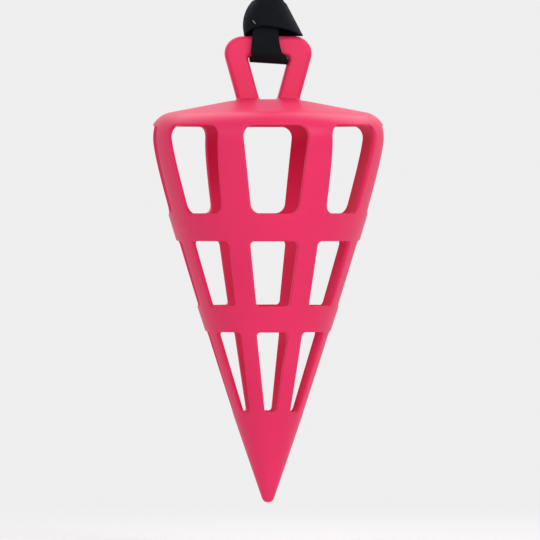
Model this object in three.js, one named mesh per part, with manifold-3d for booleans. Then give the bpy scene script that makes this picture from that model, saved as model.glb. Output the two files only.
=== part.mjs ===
import * as THREE from "three";
import { mergeVertices } from "three/addons/utils/BufferGeometryUtils.js";
import Module from "manifold-3d";

const wasm = await Module();
wasm.setup();

// A pointed hay feeder that hangs from a webbing strap and a swivel snap hook.
// Lengths are in millimetres. The shell is drawn with its tip at zero height, and the whole
// part is then lowered so that the hook's bearing point is the origin.

// Feeder shell
const bodyHeight = 520;
const shoulderRadius = 152.6;
const shoulderHeight = 471;
const shoulderRound = 33;
const crownRadius = 38.7;
const wall = 6.5;
const cavityTipRadius = 1.7;
const tipLean = THREE.MathUtils.degToRad(19.1);
const hipPull = 38;
const tipPull = 195;
const windowColumns = 8;

// Windows: edge heights, how far the upper ones reach past the widest height, the rib left
// between neighbours, and the corners
const upperWindowLap = 14.7;
const upperWindowFoot = 373;
const upperRibTop = 27.5;
const upperRibFoot = 39.5;
const upperCorner = 14;
const middleWindowTop = 337.6;
const middleWindowFoot = 254.3;
const middleRib = 28;
const middleCorner = 5.5;
const lowerWindowTop = 220.8;
const lowerWindowFoot = 117.8;
const lowerRib = 20.5;
const lowerCorner = 4.8;

// Handle loop on the crown
const handleRise = 81.2;
const handleBaseWidth = 80.6;
const handleTopWidth = 125.6;
const handleLegWidth = 28.6;
const handleBarHeight = 25.8;
const handleDepth = 26;
const handleCorner = 22;
const handleHoleCorner = 3.6;
const handleEdge = 5.5;
const handleRoot = 24;

// Webbing strap
const strapWidth = 47;
const strapThickness = 2.2;
const layerGap = 0.6;
const strapRise = 142;
const sewnTailLength = 58;
const foldNeckLength = 13;
const foldLeanShare = 0.1;
const eyeReach = 31;
const eyeFrontRise = 37;
const underSlack = 3;
const seatDrop = 0.4;
const rollFlatHalf = 12.5;
const rollRadius = 3.1;
const cupRadius = 38;

// Swivel eye
const eyeWireRadius = 3.5;
const eyeSideClearance = 1.6;
const eyeHeight = 20;
const eyeCorner = 6;
const postRadius = 4;
const bossRadius = 6.5;
const postHeadRadius = 5.4;
const postHeadHeight = 3;

// Snap hook
const bowRadius = 11;
const hookStock = 9;
const hookThickness = 13;
const hookEdge = 1.5;
const hookDrop = 56;
const baseHeight = 12;
const collarRadius = 9.6;
const spineFootRise = 16;
const noseLength = 8;
const earRadius = 6;
const slotDepth = 7;
const gateSwingRoom = 2.7;
const gateThickness = 7.5;
const gateHubRadius = 4.3;
const gateTipWidth = 4.2;
const gateShoulderWidth = 6;
const gateTipLap = 3.4;
const gateShoulderRound = 1;
const gateTipRound = 1;
const gateForkWidth = 4.4;
const gateForkRise = 11;
const gatePinRadius = 1.8;
const gatePinHeadRadius = 3.1;
const gatePinHeadHeight = 1.3;

// Gate spring, a small torsion coil round the pin
const springWireRadius = 0.4;
const springCoilRadius = 2.85;
const springPitch = 1.35;
const springTurns = 2;
const springLeg = 7;

// Clearances and overrun
const fitGap = 0.3;
const runningGap = 0.4;
const cutOverrun = 12;

const sector = (2 * Math.PI) / windowColumns;
const upperWindowTop = shoulderHeight + upperWindowLap;
const barTop = bodyHeight + handleRise;
const barHalfHeight = handleBarHeight / 2;
const barHalfDepth = handleDepth / 2;
const eyeBarHeight = barTop + strapRise;
const eyeTopHeight = eyeBarHeight + eyeHeight;
const hookBottom = eyeTopHeight + eyeWireRadius + runningGap;
const bearingHeight = hookBottom + hookDrop;
const bowCentre = bearingHeight - bowRadius;
const seatHeight = hookBottom + baseHeight;
const hookOuter = bowRadius + hookStock;

// Materials
function material(colour, roughness, metalness) {
  return new THREE.MeshStandardMaterial({ color: colour, roughness, metalness });
}

const pinkPlastic = material(0xf0386c, 0.38, 0);
const blackWebbing = material(0x1c1f23, 0.85, 0);
const platedZinc = material(0xb9bcc0, 0.3, 0.9);
const springSteel = material(0x8f959b, 0.35, 0.95);

// Closed meshes to solids and back
function toSolid(geometry) {
  const bare = geometry.clone();
  bare.deleteAttribute("normal");
  bare.deleteAttribute("uv");
  const merged = mergeVertices(bare);
  return new wasm.Manifold(
    new wasm.Mesh({
      numProp: 3,
      vertProperties: new Float32Array(merged.attributes.position.array),
      triVerts: new Uint32Array(merged.index.array),
    }),
  );
}

function toGeometry(solid) {
  const mesh = solid.getMesh();
  const geometry = new THREE.BufferGeometry();
  const positions = [];
  for (let i = 0; i < mesh.vertProperties.length; i += mesh.numProp) {
    positions.push(mesh.vertProperties[i], mesh.vertProperties[i + 1], mesh.vertProperties[i + 2]);
  }
  geometry.setAttribute("position", new THREE.Float32BufferAttribute(positions, 3));
  geometry.setIndex(Array.from(mesh.triVerts));
  geometry.computeVertexNormals();
  return geometry;
}

// A polygon in a plane whose corners are rounded by arcs
function roundedOutline(corners, radii, arcSteps, sideSteps = 1) {
  const points = [];
  const count = corners.length;
  for (let i = 0; i < count; i += 1) {
    const corner = corners[i];
    const before = corners[(i + count - 1) % count].clone().sub(corner).normalize();
    const after = corners[(i + 1) % count].clone().sub(corner).normalize();
    const half = Math.acos(THREE.MathUtils.clamp(before.dot(after), -1, 1)) / 2;
    const radius = radii[i];
    if (radius > 0) {
      const bisector = before.clone().add(after).normalize();
      const centre = corner.clone().addScaledVector(bisector, radius / Math.sin(half));
      const start = corner.clone().addScaledVector(before, radius / Math.tan(half)).sub(centre);
      const end = corner.clone().addScaledVector(after, radius / Math.tan(half)).sub(centre);
      const turn = Math.atan2(start.cross(end), start.dot(end));
      for (let k = 0; k <= arcSteps; k += 1) {
        points.push(start.clone().rotateAround(new THREE.Vector2(), (turn * k) / arcSteps).add(centre));
      }
    } else {
      points.push(corner.clone());
    }
  }
  return subdivideLongSides(points, sideSteps);
}

function subdivideLongSides(points, sideSteps) {
  const longest = Math.max(...points.map((p, i) => p.distanceTo(points[(i + 1) % points.length])));
  const divided = [];
  points.forEach((point, i) => {
    const next = points[(i + 1) % points.length];
    const steps = Math.max(1, Math.round((sideSteps * point.distanceTo(next)) / longest));
    for (let k = 0; k < steps; k += 1) {
      divided.push(point.clone().lerp(next, k / steps));
    }
  });
  return divided;
}

// An outline drawn in the XZ plane, made solid along Y and centred on the plane
function uprightPlate(outline, depth, edge, edgeSteps) {
  const geometry = new THREE.ExtrudeGeometry(new THREE.Shape(outline), {
    depth: depth - 2 * edge,
    bevelEnabled: edge > 0,
    bevelThickness: edge,
    bevelSize: edge,
    bevelOffset: -edge,
    bevelSegments: edgeSteps,
    steps: 1,
  });
  geometry.rotateX(Math.PI / 2);
  geometry.translate(0, depth / 2 - edge, 0);
  return geometry;
}

// A round piece turned about an upright axis from a closed profile of radius and height
function turned(profile, segments) {
  const geometry = new THREE.LatheGeometry(profile, segments);
  geometry.rotateX(Math.PI / 2);
  return geometry;
}

function rod(radius, length, segments) {
  const profile = [
    new THREE.Vector2(0, 0),
    new THREE.Vector2(radius, 0),
    new THREE.Vector2(radius, length),
    new THREE.Vector2(0, length),
  ];
  return turned(profile, segments);
}

// Rings of points joined in order, closed by end caps or back to the first ring
function joinRings(rings, closed) {
  const size = rings[0].length;
  const positions = rings.flat().flatMap((point) => [point.x, point.y, point.z]);
  const index = [];
  const spans = closed ? rings.length : rings.length - 1;
  for (let r = 0; r < spans; r += 1) {
    const here = r * size;
    const next = ((r + 1) % rings.length) * size;
    for (let i = 0; i < size; i += 1) {
      const j = (i + 1) % size;
      index.push(here + i, here + j, next + i, here + j, next + j, next + i);
    }
  }
  if (!closed) {
    const last = (rings.length - 1) * size;
    const half = size / 2;
    for (let i = 0; i < half - 1; i += 1) {
      const low = i;
      const high = size - 1 - i;
      index.push(low, high, low + 1, high, high - 1, low + 1);
      index.push(last + low, last + low + 1, last + high, last + high, last + low + 1, last + high - 1);
    }
  }
  const geometry = new THREE.BufferGeometry();
  geometry.setAttribute("position", new THREE.Float32BufferAttribute(positions, 3));
  geometry.setIndex(index);
  geometry.computeVertexNormals();
  return geometry;
}

// Shell profile: a rounded tip, a slightly full cone, a round shoulder and a shallow dome
function bodyProfile(inset) {
  const tipRadius = wall + cavityTipRadius;
  const shoulderCentre = new THREE.Vector2(shoulderRadius - shoulderRound, shoulderHeight);
  const rim = new THREE.Vector2(crownRadius, bodyHeight);
  const toCentre = shoulderCentre.clone().sub(rim);
  const domeLean = -Math.atan2(toCentre.y, toCentre.x) - Math.asin(shoulderRound / toCentre.length());
  const side = new THREE.Vector2(Math.cos(tipLean), -Math.sin(tipLean));
  const up = new THREE.Vector2(Math.sin(tipLean), Math.cos(tipLean));
  const tipTangent = side.clone().multiplyScalar(tipRadius - inset).add(new THREE.Vector2(0, tipRadius));
  const widest = new THREE.Vector2(shoulderRadius - inset, shoulderHeight);
  const lowPull = tipTangent.clone().addScaledVector(up, tipPull);
  const highPull = widest.clone().sub(new THREE.Vector2(0, hipPull));
  const path = new THREE.Path();
  path.moveTo(0, inset);
  path.absarc(0, tipRadius, tipRadius - inset, -Math.PI / 2, -tipLean, false);
  path.bezierCurveTo(lowPull.x, lowPull.y, highPull.x, highPull.y, widest.x, widest.y);
  path.absarc(
    shoulderCentre.x,
    shoulderCentre.y,
    shoulderRound - inset,
    0,
    Math.PI / 2 - domeLean,
    false,
  );
  path.lineTo(rim.x, rim.y - inset);
  path.lineTo(0, bodyHeight - inset);
  return path;
}

function profilePoints(path, tipSteps, sideSteps, shoulderSteps) {
  const steps = {
    EllipseCurve: [tipSteps, shoulderSteps],
    CubicBezierCurve: [sideSteps],
    LineCurve: [1, 1, 1],
  };
  const points = [];
  for (const curve of path.curves) {
    const divisions = steps[curve.type].shift();
    for (const point of curve.getPoints(divisions)) {
      const last = points[points.length - 1];
      if (!last || last.distanceTo(point) > wall / 100) {
        points.push(point);
      }
    }
  }
  points[0].x = 0;
  points[points.length - 1].x = 0;
  return points;
}

// Outer radius of the shell at a height, read from its own side curve
const sideCurvePoints = bodyProfile(0)
  .getPoints(80)
  .filter((point) => point.y <= shoulderHeight + shoulderRound * Math.SQRT1_2);

function radiusAt(height) {
  const above = sideCurvePoints.findIndex((point) => point.y >= height);
  const high = sideCurvePoints[above < 0 ? sideCurvePoints.length - 1 : Math.max(above, 1)];
  const low = sideCurvePoints[above < 0 ? sideCurvePoints.length - 2 : Math.max(above - 1, 0)];
  return low.x + ((high.x - low.x) * (height - low.y)) / (high.y - low.y);
}

// One window cutter: an outline on the shell's surface carried inwards along the radius
function windowCutter(row, column) {
  const halfAt = (height, rib) => (radiusAt(height) * sector - rib) / 2;
  const topHalf = halfAt(row.top, row.ribTop);
  const footHalf = halfAt(row.foot, row.ribFoot);
  const corners = [
    new THREE.Vector2(-footHalf, row.foot),
    new THREE.Vector2(footHalf, row.foot),
    new THREE.Vector2(topHalf, row.top),
    new THREE.Vector2(-topHalf, row.top),
  ];
  const outline = roundedOutline(corners, Array(4).fill(row.corner), row.cornerSteps, row.sideSteps);
  const geometry = new THREE.ExtrudeGeometry(new THREE.Shape(outline), {
    depth: wall,
    bevelEnabled: false,
    steps: 1,
  });
  const position = geometry.attributes.position;
  for (let i = 0; i < position.count; i += 1) {
    const height = position.getY(i);
    const outer = radiusAt(height);
    const angle = position.getX(i) / outer + column * sector;
    const inner = Math.max(outer - wall - cutOverrun, outer / 3);
    const radius = position.getZ(i) > 0 ? outer + cutOverrun : inner;
    position.setXYZ(i, radius * Math.sin(angle), -radius * Math.cos(angle), height);
  }
  return geometry;
}

const windowRows = [
  {
    top: upperWindowTop,
    foot: upperWindowFoot,
    ribTop: upperRibTop,
    ribFoot: upperRibFoot,
    corner: upperCorner,
    cornerSteps: 3,
    sideSteps: 3,
  },
  {
    top: middleWindowTop,
    foot: middleWindowFoot,
    ribTop: middleRib,
    ribFoot: middleRib,
    corner: middleCorner,
    cornerSteps: 2,
    sideSteps: 3,
  },
  {
    top: lowerWindowTop,
    foot: lowerWindowFoot,
    ribTop: lowerRib,
    ribFoot: lowerRib,
    corner: lowerCorner,
    cornerSteps: 2,
    sideSteps: 3,
  },
];

// The handle is an open-footed loop whose feet run down through the crown
function handleSolid() {
  const lean = (handleTopWidth - handleBaseWidth) / (2 * handleRise);
  const outerAt = (height) => handleBaseWidth / 2 + lean * (height - bodyHeight);
  const innerAt = (height) => outerAt(height) - handleLegWidth;
  const foot = bodyHeight - handleRoot;
  const holeTop = barTop - handleBarHeight;
  const corners = [
    new THREE.Vector2(outerAt(foot), foot),
    new THREE.Vector2(outerAt(barTop), barTop),
    new THREE.Vector2(-outerAt(barTop), barTop),
    new THREE.Vector2(-outerAt(foot), foot),
    new THREE.Vector2(-innerAt(foot), foot),
    new THREE.Vector2(-innerAt(holeTop), holeTop),
    new THREE.Vector2(innerAt(holeTop), holeTop),
    new THREE.Vector2(innerAt(foot), foot),
  ];
  const radii = [0, handleCorner, handleCorner, 0, 0, handleHoleCorner, handleHoleCorner, 0];
  return toSolid(uprightPlate(roundedOutline(corners, radii, 6), handleDepth, handleEdge, 2));
}

function feederShell() {
  const shellSegments = 6 * windowColumns;
  const outer = toSolid(turned(profilePoints(bodyProfile(0), 3, 12, 6), shellSegments));
  const cavity = toSolid(turned(profilePoints(bodyProfile(wall), 2, 12, 5), shellSegments));
  let shell = outer.add(handleSolid()).subtract(cavity);
  for (const row of windowRows) {
    for (let column = 0; column < windowColumns; column += 1) {
      shell = shell.subtract(toSolid(windowCutter(row, column)));
    }
  }
  return toGeometry(shell);
}

// Strap route. Each stop has its centre, the direction across the webbing, how far its first and
// second edges are rolled back, and how far it is cupped. Layers lie on the bar at these
// distances from its faces.
const innerLayer = layerGap + strapThickness / 2;
const layerPitch = layerGap + strapThickness;
const outerLayer = innerLayer + layerPitch;

function stop(x, y, z, across, rolls = [0, 0], cup = 0) {
  return { centre: new THREE.Vector3(x, y, z), across: new THREE.Vector3(...across), rolls, cup };
}

// Rows of a route table: sideways, back and up as shares of three reaches, then the direction
// across the webbing, then the rolls of its two edges, then its cup
function tableStops(rows, sideReach, backReach, rise) {
  return rows.map(([side, back, up, acrossX, acrossY, acrossZ, firstRoll = 0, secondRoll = 0, cup = 0]) => {
    const across = [acrossX, acrossY, acrossZ];
    const height = barTop + up * rise;
    return stop(side * sideReach, back * backReach, height, across, [firstRoll, secondRoll], cup);
  });
}

// The sewn eye leaves the back of the bar towards the right
const firstLegShares = [
  [0.03, 1, -0.1, -0.99, 0, 0.12],
  [0.11, 1, 0.12, -0.96, 0, 0.28],
  [0.3, 0.98, 0.33, -0.86, 0, 0.5],
  [0.58, 0.96, 0.465, -0.7, 0.04, 0.72],
  [0.91, 0.5, 0.555, -0.5, 0.14, 0.85],
  [1.08, -0.2, 0.565, -0.46, 0.1, 0.88],
];
// It crosses in front from right to left, and cups as it turns back
const bightShares = [
  [0.94, -0.53, 0.63, -0.42, 0.14, 0.9],
  [0.64, -0.79, 0.79, -0.27, 0.2, 0.94],
  [0.19, -0.94, 0.93, -0.08, 0.2, 0.98],
  [-0.26, -0.95, 0.98, 0.05, 0.2, 0.98, 0, 0, 0.15],
  [-0.59, -0.8, 0.89, 0.18, 0.22, 0.96, 0, 0, 0.5],
  [-0.86, -0.48, 0.75, 0.26, 0.15, 0.95, 0, 0, 0.8],
  [-0.98, -0.06, 0.66, 0.22, 0.03, 0.97, 0, 0, 0.85],
];
// It goes down behind the bar over its own start
const secondLegShares = [
  [-0.69, 0.87, 0.62, 0.42, -0.02, 0.9, 0, 0, 0.4],
  [-0.43, 1.16, 0.42, 0.65, -0.02, 0.75, 0, 0, 0.1],
  [-0.18, 1.1, 0.16, 0.87, 0, 0.49],
  [-0.04, 1.04, -0.12, 0.98, 0, 0.2],
  [0, 1, -0.34, 1, 0, 0],
];
// It runs slackly under the bar and up in front, where its edges begin to roll
const underShares = [
  [0, 1.02, -0.54, 1, 0, -0.01],
  [0, 0.97, -0.8, 1, 0, -0.04],
  [0, 0.66, -0.96, 1, 0, -0.06],
  [0, 0.23, -1.01, 1, 0, -0.06],
  [0, -0.34, -1.01, 1, 0, -0.06],
  [0.03, -0.76, -1, 1, 0, -0.1],
  [0.05, -0.99, -0.88, 1, 0, -0.1, 0.06, 0.3],
  [0.02, -1.1, -0.76, 1, 0, -0.06, 0.22, 0.62],
];
// Rolled, it climbs over the bar's front and leans through the eye
const frontShares = [
  [-0.03, -1, -0.26, 1, 0, -0.02, 0.42, 0.86],
  [-0.04, -1.01, -0.225, 1, 0, -0.02, 0.5, 0.92],
  [-0.06, -1.01, -0.19, 1, 0, -0.01, 0.58, 0.96],
  [-0.08, -1.01, -0.15, 1, 0, 0, 0.68, 1],
  [-0.1, -1.01, -0.1, 1, 0, 0, 0.78, 1],
  [-0.12, -1.01, -0.04, 1, 0, 0, 0.88, 1],
  [-0.13, -0.98, 0.07, 1, 0, 0, 0.97, 1],
  [-0.1, -0.84, 0.21, 1, 0, -0.06, 1, 1],
  [0.02, -0.58, 0.4, 1, 0, -0.14, 1, 1],
  [0.1, -0.36, 0.59, 1, 0, -0.06, 1, 1],
  [0.1, -0.26, 0.68, 1, 0, 0, 0.86, 0.86],
  [0.08, -0.17, 0.76, 1, 0, 0.04, 0.7, 0.7],
  [0.05, -0.1, 0.83, 1, 0, 0.05, 0.54, 0.54],
  [0.03, -0.04, 0.89, 1, 0, 0.03, 0.36, 0.36],
  [0.01, 0.02, 0.95, 1, 0, 0.01, 0.18, 0.18],
];

// Stops under the bar and round its lower rear corner, seen along the bar
function cornerStops(offset, across, count) {
  const pivotY = barHalfDepth - handleEdge;
  const pivotZ = barTop - handleBarHeight + handleEdge;
  const radius = handleEdge + offset;
  const stops = [];
  for (let k = 0; k < count; k += 1) {
    const angle = (Math.PI / 2) * (k / (count - 1));
    const drop = (radius + seatDrop) * Math.cos(angle);
    stops.push(stop(0, pivotY + radius * Math.sin(angle), pivotZ - drop, across));
  }
  return stops;
}

function strapStops() {
  const flatAcross = [1, 0, 0];
  const startAcross = [-1, 0, 0];
  const rearReach = barHalfDepth + innerLayer;
  const outerReach = barHalfDepth + outerLayer;
  const frontReach = rearReach + 2 * rollRadius;
  const bightReach = frontReach + 2 * layerPitch;
  const underDrop = handleBarHeight + outerLayer + underSlack;
  const freeRise = strapRise - sewnTailLength;
  const startHeight = barTop - handleBarHeight - innerLayer - seatDrop;
  const stops = [stop(0, -barHalfDepth / 3, startHeight, startAcross)];
  stops.push(...cornerStops(innerLayer, startAcross, 4));
  stops.push(stop(0, rearReach, barTop - barHalfHeight, startAcross));
  stops.push(...tableStops(firstLegShares, eyeReach, rearReach, eyeFrontRise));
  stops.push(...tableStops(bightShares, eyeReach, bightReach, eyeFrontRise));
  stops.push(...tableStops(secondLegShares, eyeReach, outerReach, eyeFrontRise));
  stops.push(...tableStops(underShares, eyeReach, outerReach, underDrop));
  stops.push(...tableStops(frontShares, eyeReach, frontReach, freeRise));
  stops.push(...foldStops(flatAcross));
  return stops;
}

// Up the sewn stretch, over the swivel eye's lower bar and down again in front
function foldStops(across) {
  const radius = eyeWireRadius + runningGap + strapThickness / 2;
  const neck = foldNeckLength;
  const sideY = layerPitch / 2;
  const lean = Math.PI * foldLeanShare;
  const arcSteps = 8;
  const neckSteps = 3;
  const stops = [];
  const neckStop = (side, share) => {
    const ease = share * share * (3 - 2 * share);
    const y = THREE.MathUtils.lerp(sideY, radius * Math.cos(lean), ease);
    const low = eyeBarHeight - radius * Math.sin(lean) - neck;
    return stop(0, side * y, low + neck * share, across);
  };
  stops.push(stop(0, sideY, eyeBarHeight - sewnTailLength + strapThickness, across));
  for (let k = 0; k < neckSteps; k += 1) {
    stops.push(neckStop(1, k / neckSteps));
  }
  for (let k = 0; k <= arcSteps; k += 1) {
    const angle = -lean + ((Math.PI + 2 * lean) * k) / arcSteps;
    stops.push(stop(0, radius * Math.cos(angle), eyeBarHeight + radius * Math.sin(angle), across));
  }
  for (let k = neckSteps - 1; k >= 0; k -= 1) {
    stops.push(neckStop(-1, k / neckSteps));
  }
  stops.push(stop(0, -sideY, eyeBarHeight - sewnTailLength, across));
  return stops;
}

// Stations at the stops
function strapStations() {
  const stops = strapStops();
  return stops.map((here, i) => {
    const before = stops[Math.max(i - 1, 0)].centre;
    const after = stops[Math.min(i + 1, stops.length - 1)].centre;
    const along = after.clone().sub(before).normalize();
    const across = here.across.clone().normalize();
    const face = along.clone().cross(across).normalize();
    return { ...here, across, face };
  });
}

// Points across the webbing on one of its faces, bent towards its inner side: the edges rolled,
// or the whole width cupped
const acrossShares = [-1, -0.88, -0.76, -0.63, -0.5, 0, 0.5, 0.63, 0.76, 0.88, 1];

function strapRow(station, shift) {
  return acrossShares.map((share) => {
    const s = (share * strapWidth) / 2;
    const roll = station.rolls[share < 0 ? 0 : 1];
    const flatHalf = station.cup > 0 ? 0 : THREE.MathUtils.lerp(strapWidth / 2, rollFlatHalf, roll);
    const bend = station.cup > 0 ? cupRadius / station.cup : rollRadius;
    const flat = Math.min(Math.abs(s), flatHalf);
    const turn = (Math.abs(s) - flat) / bend;
    const sideways = Math.sign(s) * (flat + Math.sin(turn) * (bend - shift));
    const depth = (1 - Math.cos(turn)) * bend + Math.cos(turn) * shift;
    const point = station.centre.clone();
    return point.addScaledVector(station.across, sideways).addScaledVector(station.face, depth);
  });
}

function hangingStrap() {
  const rings = strapStations().map((station) => {
    const near = strapRow(station, -strapThickness / 2);
    const far = strapRow(station, strapThickness / 2);
    return [...near, ...far.reverse()];
  });
  return joinRings(rings, false);
}

// Swivel eye: a rectangular wire loop, a boss and a headed post that turns in the hook's base
function swivelEye() {
  const halfWidth = strapWidth / 2 + eyeSideClearance + eyeWireRadius;
  const corners = [
    new THREE.Vector2(-halfWidth, eyeBarHeight),
    new THREE.Vector2(halfWidth, eyeBarHeight),
    new THREE.Vector2(halfWidth, eyeTopHeight),
    new THREE.Vector2(-halfWidth, eyeTopHeight),
  ];
  const line = roundedOutline(corners, Array(4).fill(eyeCorner), 4);
  const wireSides = 10;
  const rings = line.map((point, i) => {
    const ahead = line[(i + 1) % line.length];
    const behind = line[(i + line.length - 1) % line.length];
    const arriving = point.clone().sub(behind).normalize();
    const along = ahead.clone().sub(point).normalize().add(arriving).normalize();
    const outward = new THREE.Vector3(along.y, 0, -along.x);
    const ring = [];
    for (let k = 0; k < wireSides; k += 1) {
      const angle = (2 * Math.PI * k) / wireSides;
      const centre = new THREE.Vector3(point.x, 0, point.y);
      centre.addScaledVector(outward, eyeWireRadius * Math.cos(angle));
      centre.y += eyeWireRadius * Math.sin(angle);
      ring.push(centre);
    }
    return ring;
  });
  const postTop = seatHeight + runningGap;
  const profile = [
    new THREE.Vector2(0, eyeTopHeight - eyeWireRadius / 2),
    new THREE.Vector2(bossRadius, eyeTopHeight - eyeWireRadius / 2),
    new THREE.Vector2(bossRadius, hookBottom - runningGap),
    new THREE.Vector2(postRadius, hookBottom - runningGap),
    new THREE.Vector2(postRadius, postTop),
    new THREE.Vector2(postHeadRadius, postTop),
    new THREE.Vector2(postHeadRadius, postTop + postHeadHeight * 0.5),
    new THREE.Vector2(postHeadRadius * 0.7, postTop + postHeadHeight),
    new THREE.Vector2(0, postTop + postHeadHeight),
  ];
  return toGeometry(toSolid(joinRings(rings, true)).add(toSolid(turned(profile, 24))));
}

// Snap hook, drawn in the XZ plane
const pivotX = bowRadius + hookStock / 2 - 1.2 * runningGap;
const pivotHeight = seatHeight - fitGap * 3;
const noseEnd = bowCentre - noseLength;

function snapBodyOutline() {
  const shape = new THREE.Shape();
  shape.moveTo(collarRadius, hookBottom);
  shape.lineTo(pivotX + earRadius * 0.5, pivotHeight - earRadius * Math.sqrt(0.75));
  shape.absarc(pivotX, pivotHeight, earRadius, -Math.PI / 3, Math.PI * 0.75, false);
  shape.lineTo(pivotX - earRadius, seatHeight);
  shape.lineTo(-bowRadius + hookEdge, seatHeight);
  shape.lineTo(-bowRadius, seatHeight + hookEdge);
  shape.lineTo(-bowRadius, bowCentre);
  shape.absarc(0, bowCentre, bowRadius, Math.PI, 0, true);
  shape.lineTo(bowRadius, noseEnd + hookEdge);
  shape.lineTo(bowRadius + hookEdge, noseEnd);
  shape.lineTo(hookOuter - hookEdge, noseEnd);
  shape.lineTo(hookOuter, noseEnd + hookEdge);
  shape.lineTo(hookOuter, bowCentre);
  shape.absarc(0, bowCentre, hookOuter, 0, Math.PI, false);
  shape.lineTo(-hookOuter, hookBottom + spineFootRise);
  shape.lineTo(-collarRadius, hookBottom);
  return shape.getPoints(7);
}

function acrossRod(radius, length, x, height, segments) {
  const geometry = rod(radius, length, segments);
  geometry.rotateX(Math.PI / 2);
  geometry.translate(x, length / 2, height);
  return geometry;
}

function block(sizeX, sizeY, sizeZ, x, y, z) {
  const geometry = new THREE.BoxGeometry(sizeX, sizeY, sizeZ);
  geometry.translate(x, y, z);
  return geometry;
}

function snapBody() {
  const plate = toSolid(uprightPlate(snapBodyOutline(), hookThickness, hookEdge, 2));
  const collar = rod(collarRadius, baseHeight, 32);
  collar.translate(0, 0, hookBottom);
  const bore = rod(postRadius + fitGap, baseHeight + 2 * cutOverrun, 24);
  bore.translate(0, 0, hookBottom - cutOverrun);
  const slotLeft = pivotX - gateHubRadius - gateSwingRoom;
  const slotWidth = hookOuter;
  const slotFoot = seatHeight - slotDepth;
  const slotHeight = slotDepth + earRadius + cutOverrun / 4;
  const slot = block(
    slotWidth,
    gateThickness + 2 * fitGap,
    slotHeight,
    slotLeft + slotWidth / 2,
    0,
    slotFoot + slotHeight / 2,
  );
  const pinBoreLength = hookThickness + 2 * cutOverrun;
  const pinBore = acrossRod(gatePinRadius + fitGap, pinBoreLength, pivotX, pivotHeight, 16);
  let body = plate.add(toSolid(collar));
  for (const cutter of [bore, slot, pinBore]) {
    body = body.subtract(toSolid(cutter));
  }
  return toGeometry(body);
}

function snapGate() {
  const lapTop = noseEnd + gateTipLap;
  const shoulderTop = noseEnd - 2 * fitGap;
  const tipOuter = bowRadius - fitGap;
  const corners = [
    new THREE.Vector2(pivotX + gateHubRadius, pivotHeight),
    new THREE.Vector2(pivotX + gateShoulderWidth / 2, shoulderTop),
    new THREE.Vector2(tipOuter, shoulderTop),
    new THREE.Vector2(tipOuter, lapTop),
    new THREE.Vector2(tipOuter - gateTipWidth, lapTop),
    new THREE.Vector2(pivotX - gateHubRadius, pivotHeight),
  ];
  const radii = [0, gateShoulderRound, 0, gateTipRound, gateTipRound, 0];
  const outline = roundedOutline(corners, radii, 3);
  const hub = [];
  const hubSteps = 8;
  for (let k = 1; k < hubSteps; k += 1) {
    const angle = Math.PI + (Math.PI * k) / hubSteps;
    const spoke = new THREE.Vector2(Math.cos(angle), Math.sin(angle)).multiplyScalar(gateHubRadius);
    hub.push(spoke.add(new THREE.Vector2(pivotX, pivotHeight)));
  }
  const plate = toSolid(uprightPlate([...outline, ...hub], gateThickness, hookEdge / 2, 1));
  const pinBoreLength = gateThickness + 2 * cutOverrun;
  const pinBore = acrossRod(gatePinRadius + fitGap, pinBoreLength, pivotX, pivotHeight, 16);
  const forkHeight = gateForkRise + gateHubRadius + cutOverrun;
  const fork = block(
    2 * hookOuter,
    gateForkWidth,
    forkHeight,
    pivotX,
    0,
    pivotHeight + gateForkRise - forkHeight / 2,
  );
  return toGeometry(plate.subtract(toSolid(pinBore)).subtract(toSolid(fork)));
}

function gatePin() {
  const half = hookThickness / 2 + fitGap;
  const end = half + gatePinHeadHeight;
  const profile = [
    new THREE.Vector2(0, -end),
    new THREE.Vector2(gatePinHeadRadius * 0.7, -end),
    new THREE.Vector2(gatePinHeadRadius, -half - gatePinHeadHeight * 0.5),
    new THREE.Vector2(gatePinHeadRadius, -half),
    new THREE.Vector2(gatePinRadius, -half),
    new THREE.Vector2(gatePinRadius, half),
    new THREE.Vector2(gatePinHeadRadius, half),
    new THREE.Vector2(gatePinHeadRadius, half + gatePinHeadHeight * 0.5),
    new THREE.Vector2(gatePinHeadRadius * 0.7, end),
    new THREE.Vector2(0, end),
  ];
  const geometry = turned(profile, 16);
  geometry.rotateX(Math.PI / 2);
  geometry.translate(pivotX, 0, pivotHeight);
  return toGeometry(toSolid(geometry));
}

// Two turns round the pin, one leg up the gate and one leg down to the slot's floor
function springPath() {
  const points = [];
  const halfSpan = (springPitch * springTurns) / 2;
  const steps = 8 * springTurns;
  const startAngle = Math.PI;
  const coilPoint = (angle, y) =>
    new THREE.Vector3(
      pivotX + springCoilRadius * Math.cos(angle),
      y,
      pivotHeight + springCoilRadius * Math.sin(angle),
    );
  points.push(coilPoint(startAngle, -halfSpan).add(new THREE.Vector3(0, 0, springLeg)));
  points.push(coilPoint(startAngle, -halfSpan).add(new THREE.Vector3(0, 0, springLeg / 2)));
  for (let k = 0; k <= steps; k += 1) {
    const share = k / steps;
    const angle = startAngle + share * springTurns * 2 * Math.PI;
    points.push(coilPoint(angle, -halfSpan + share * 2 * halfSpan));
  }
  const end = coilPoint(startAngle, halfSpan);
  points.push(end.clone().add(new THREE.Vector3(0, 0, -springCoilRadius * 0.5)));
  points.push(end.clone().add(new THREE.Vector3(0, 0, -springCoilRadius)));
  return new THREE.CatmullRomCurve3(points, false, "centripetal");
}

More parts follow.
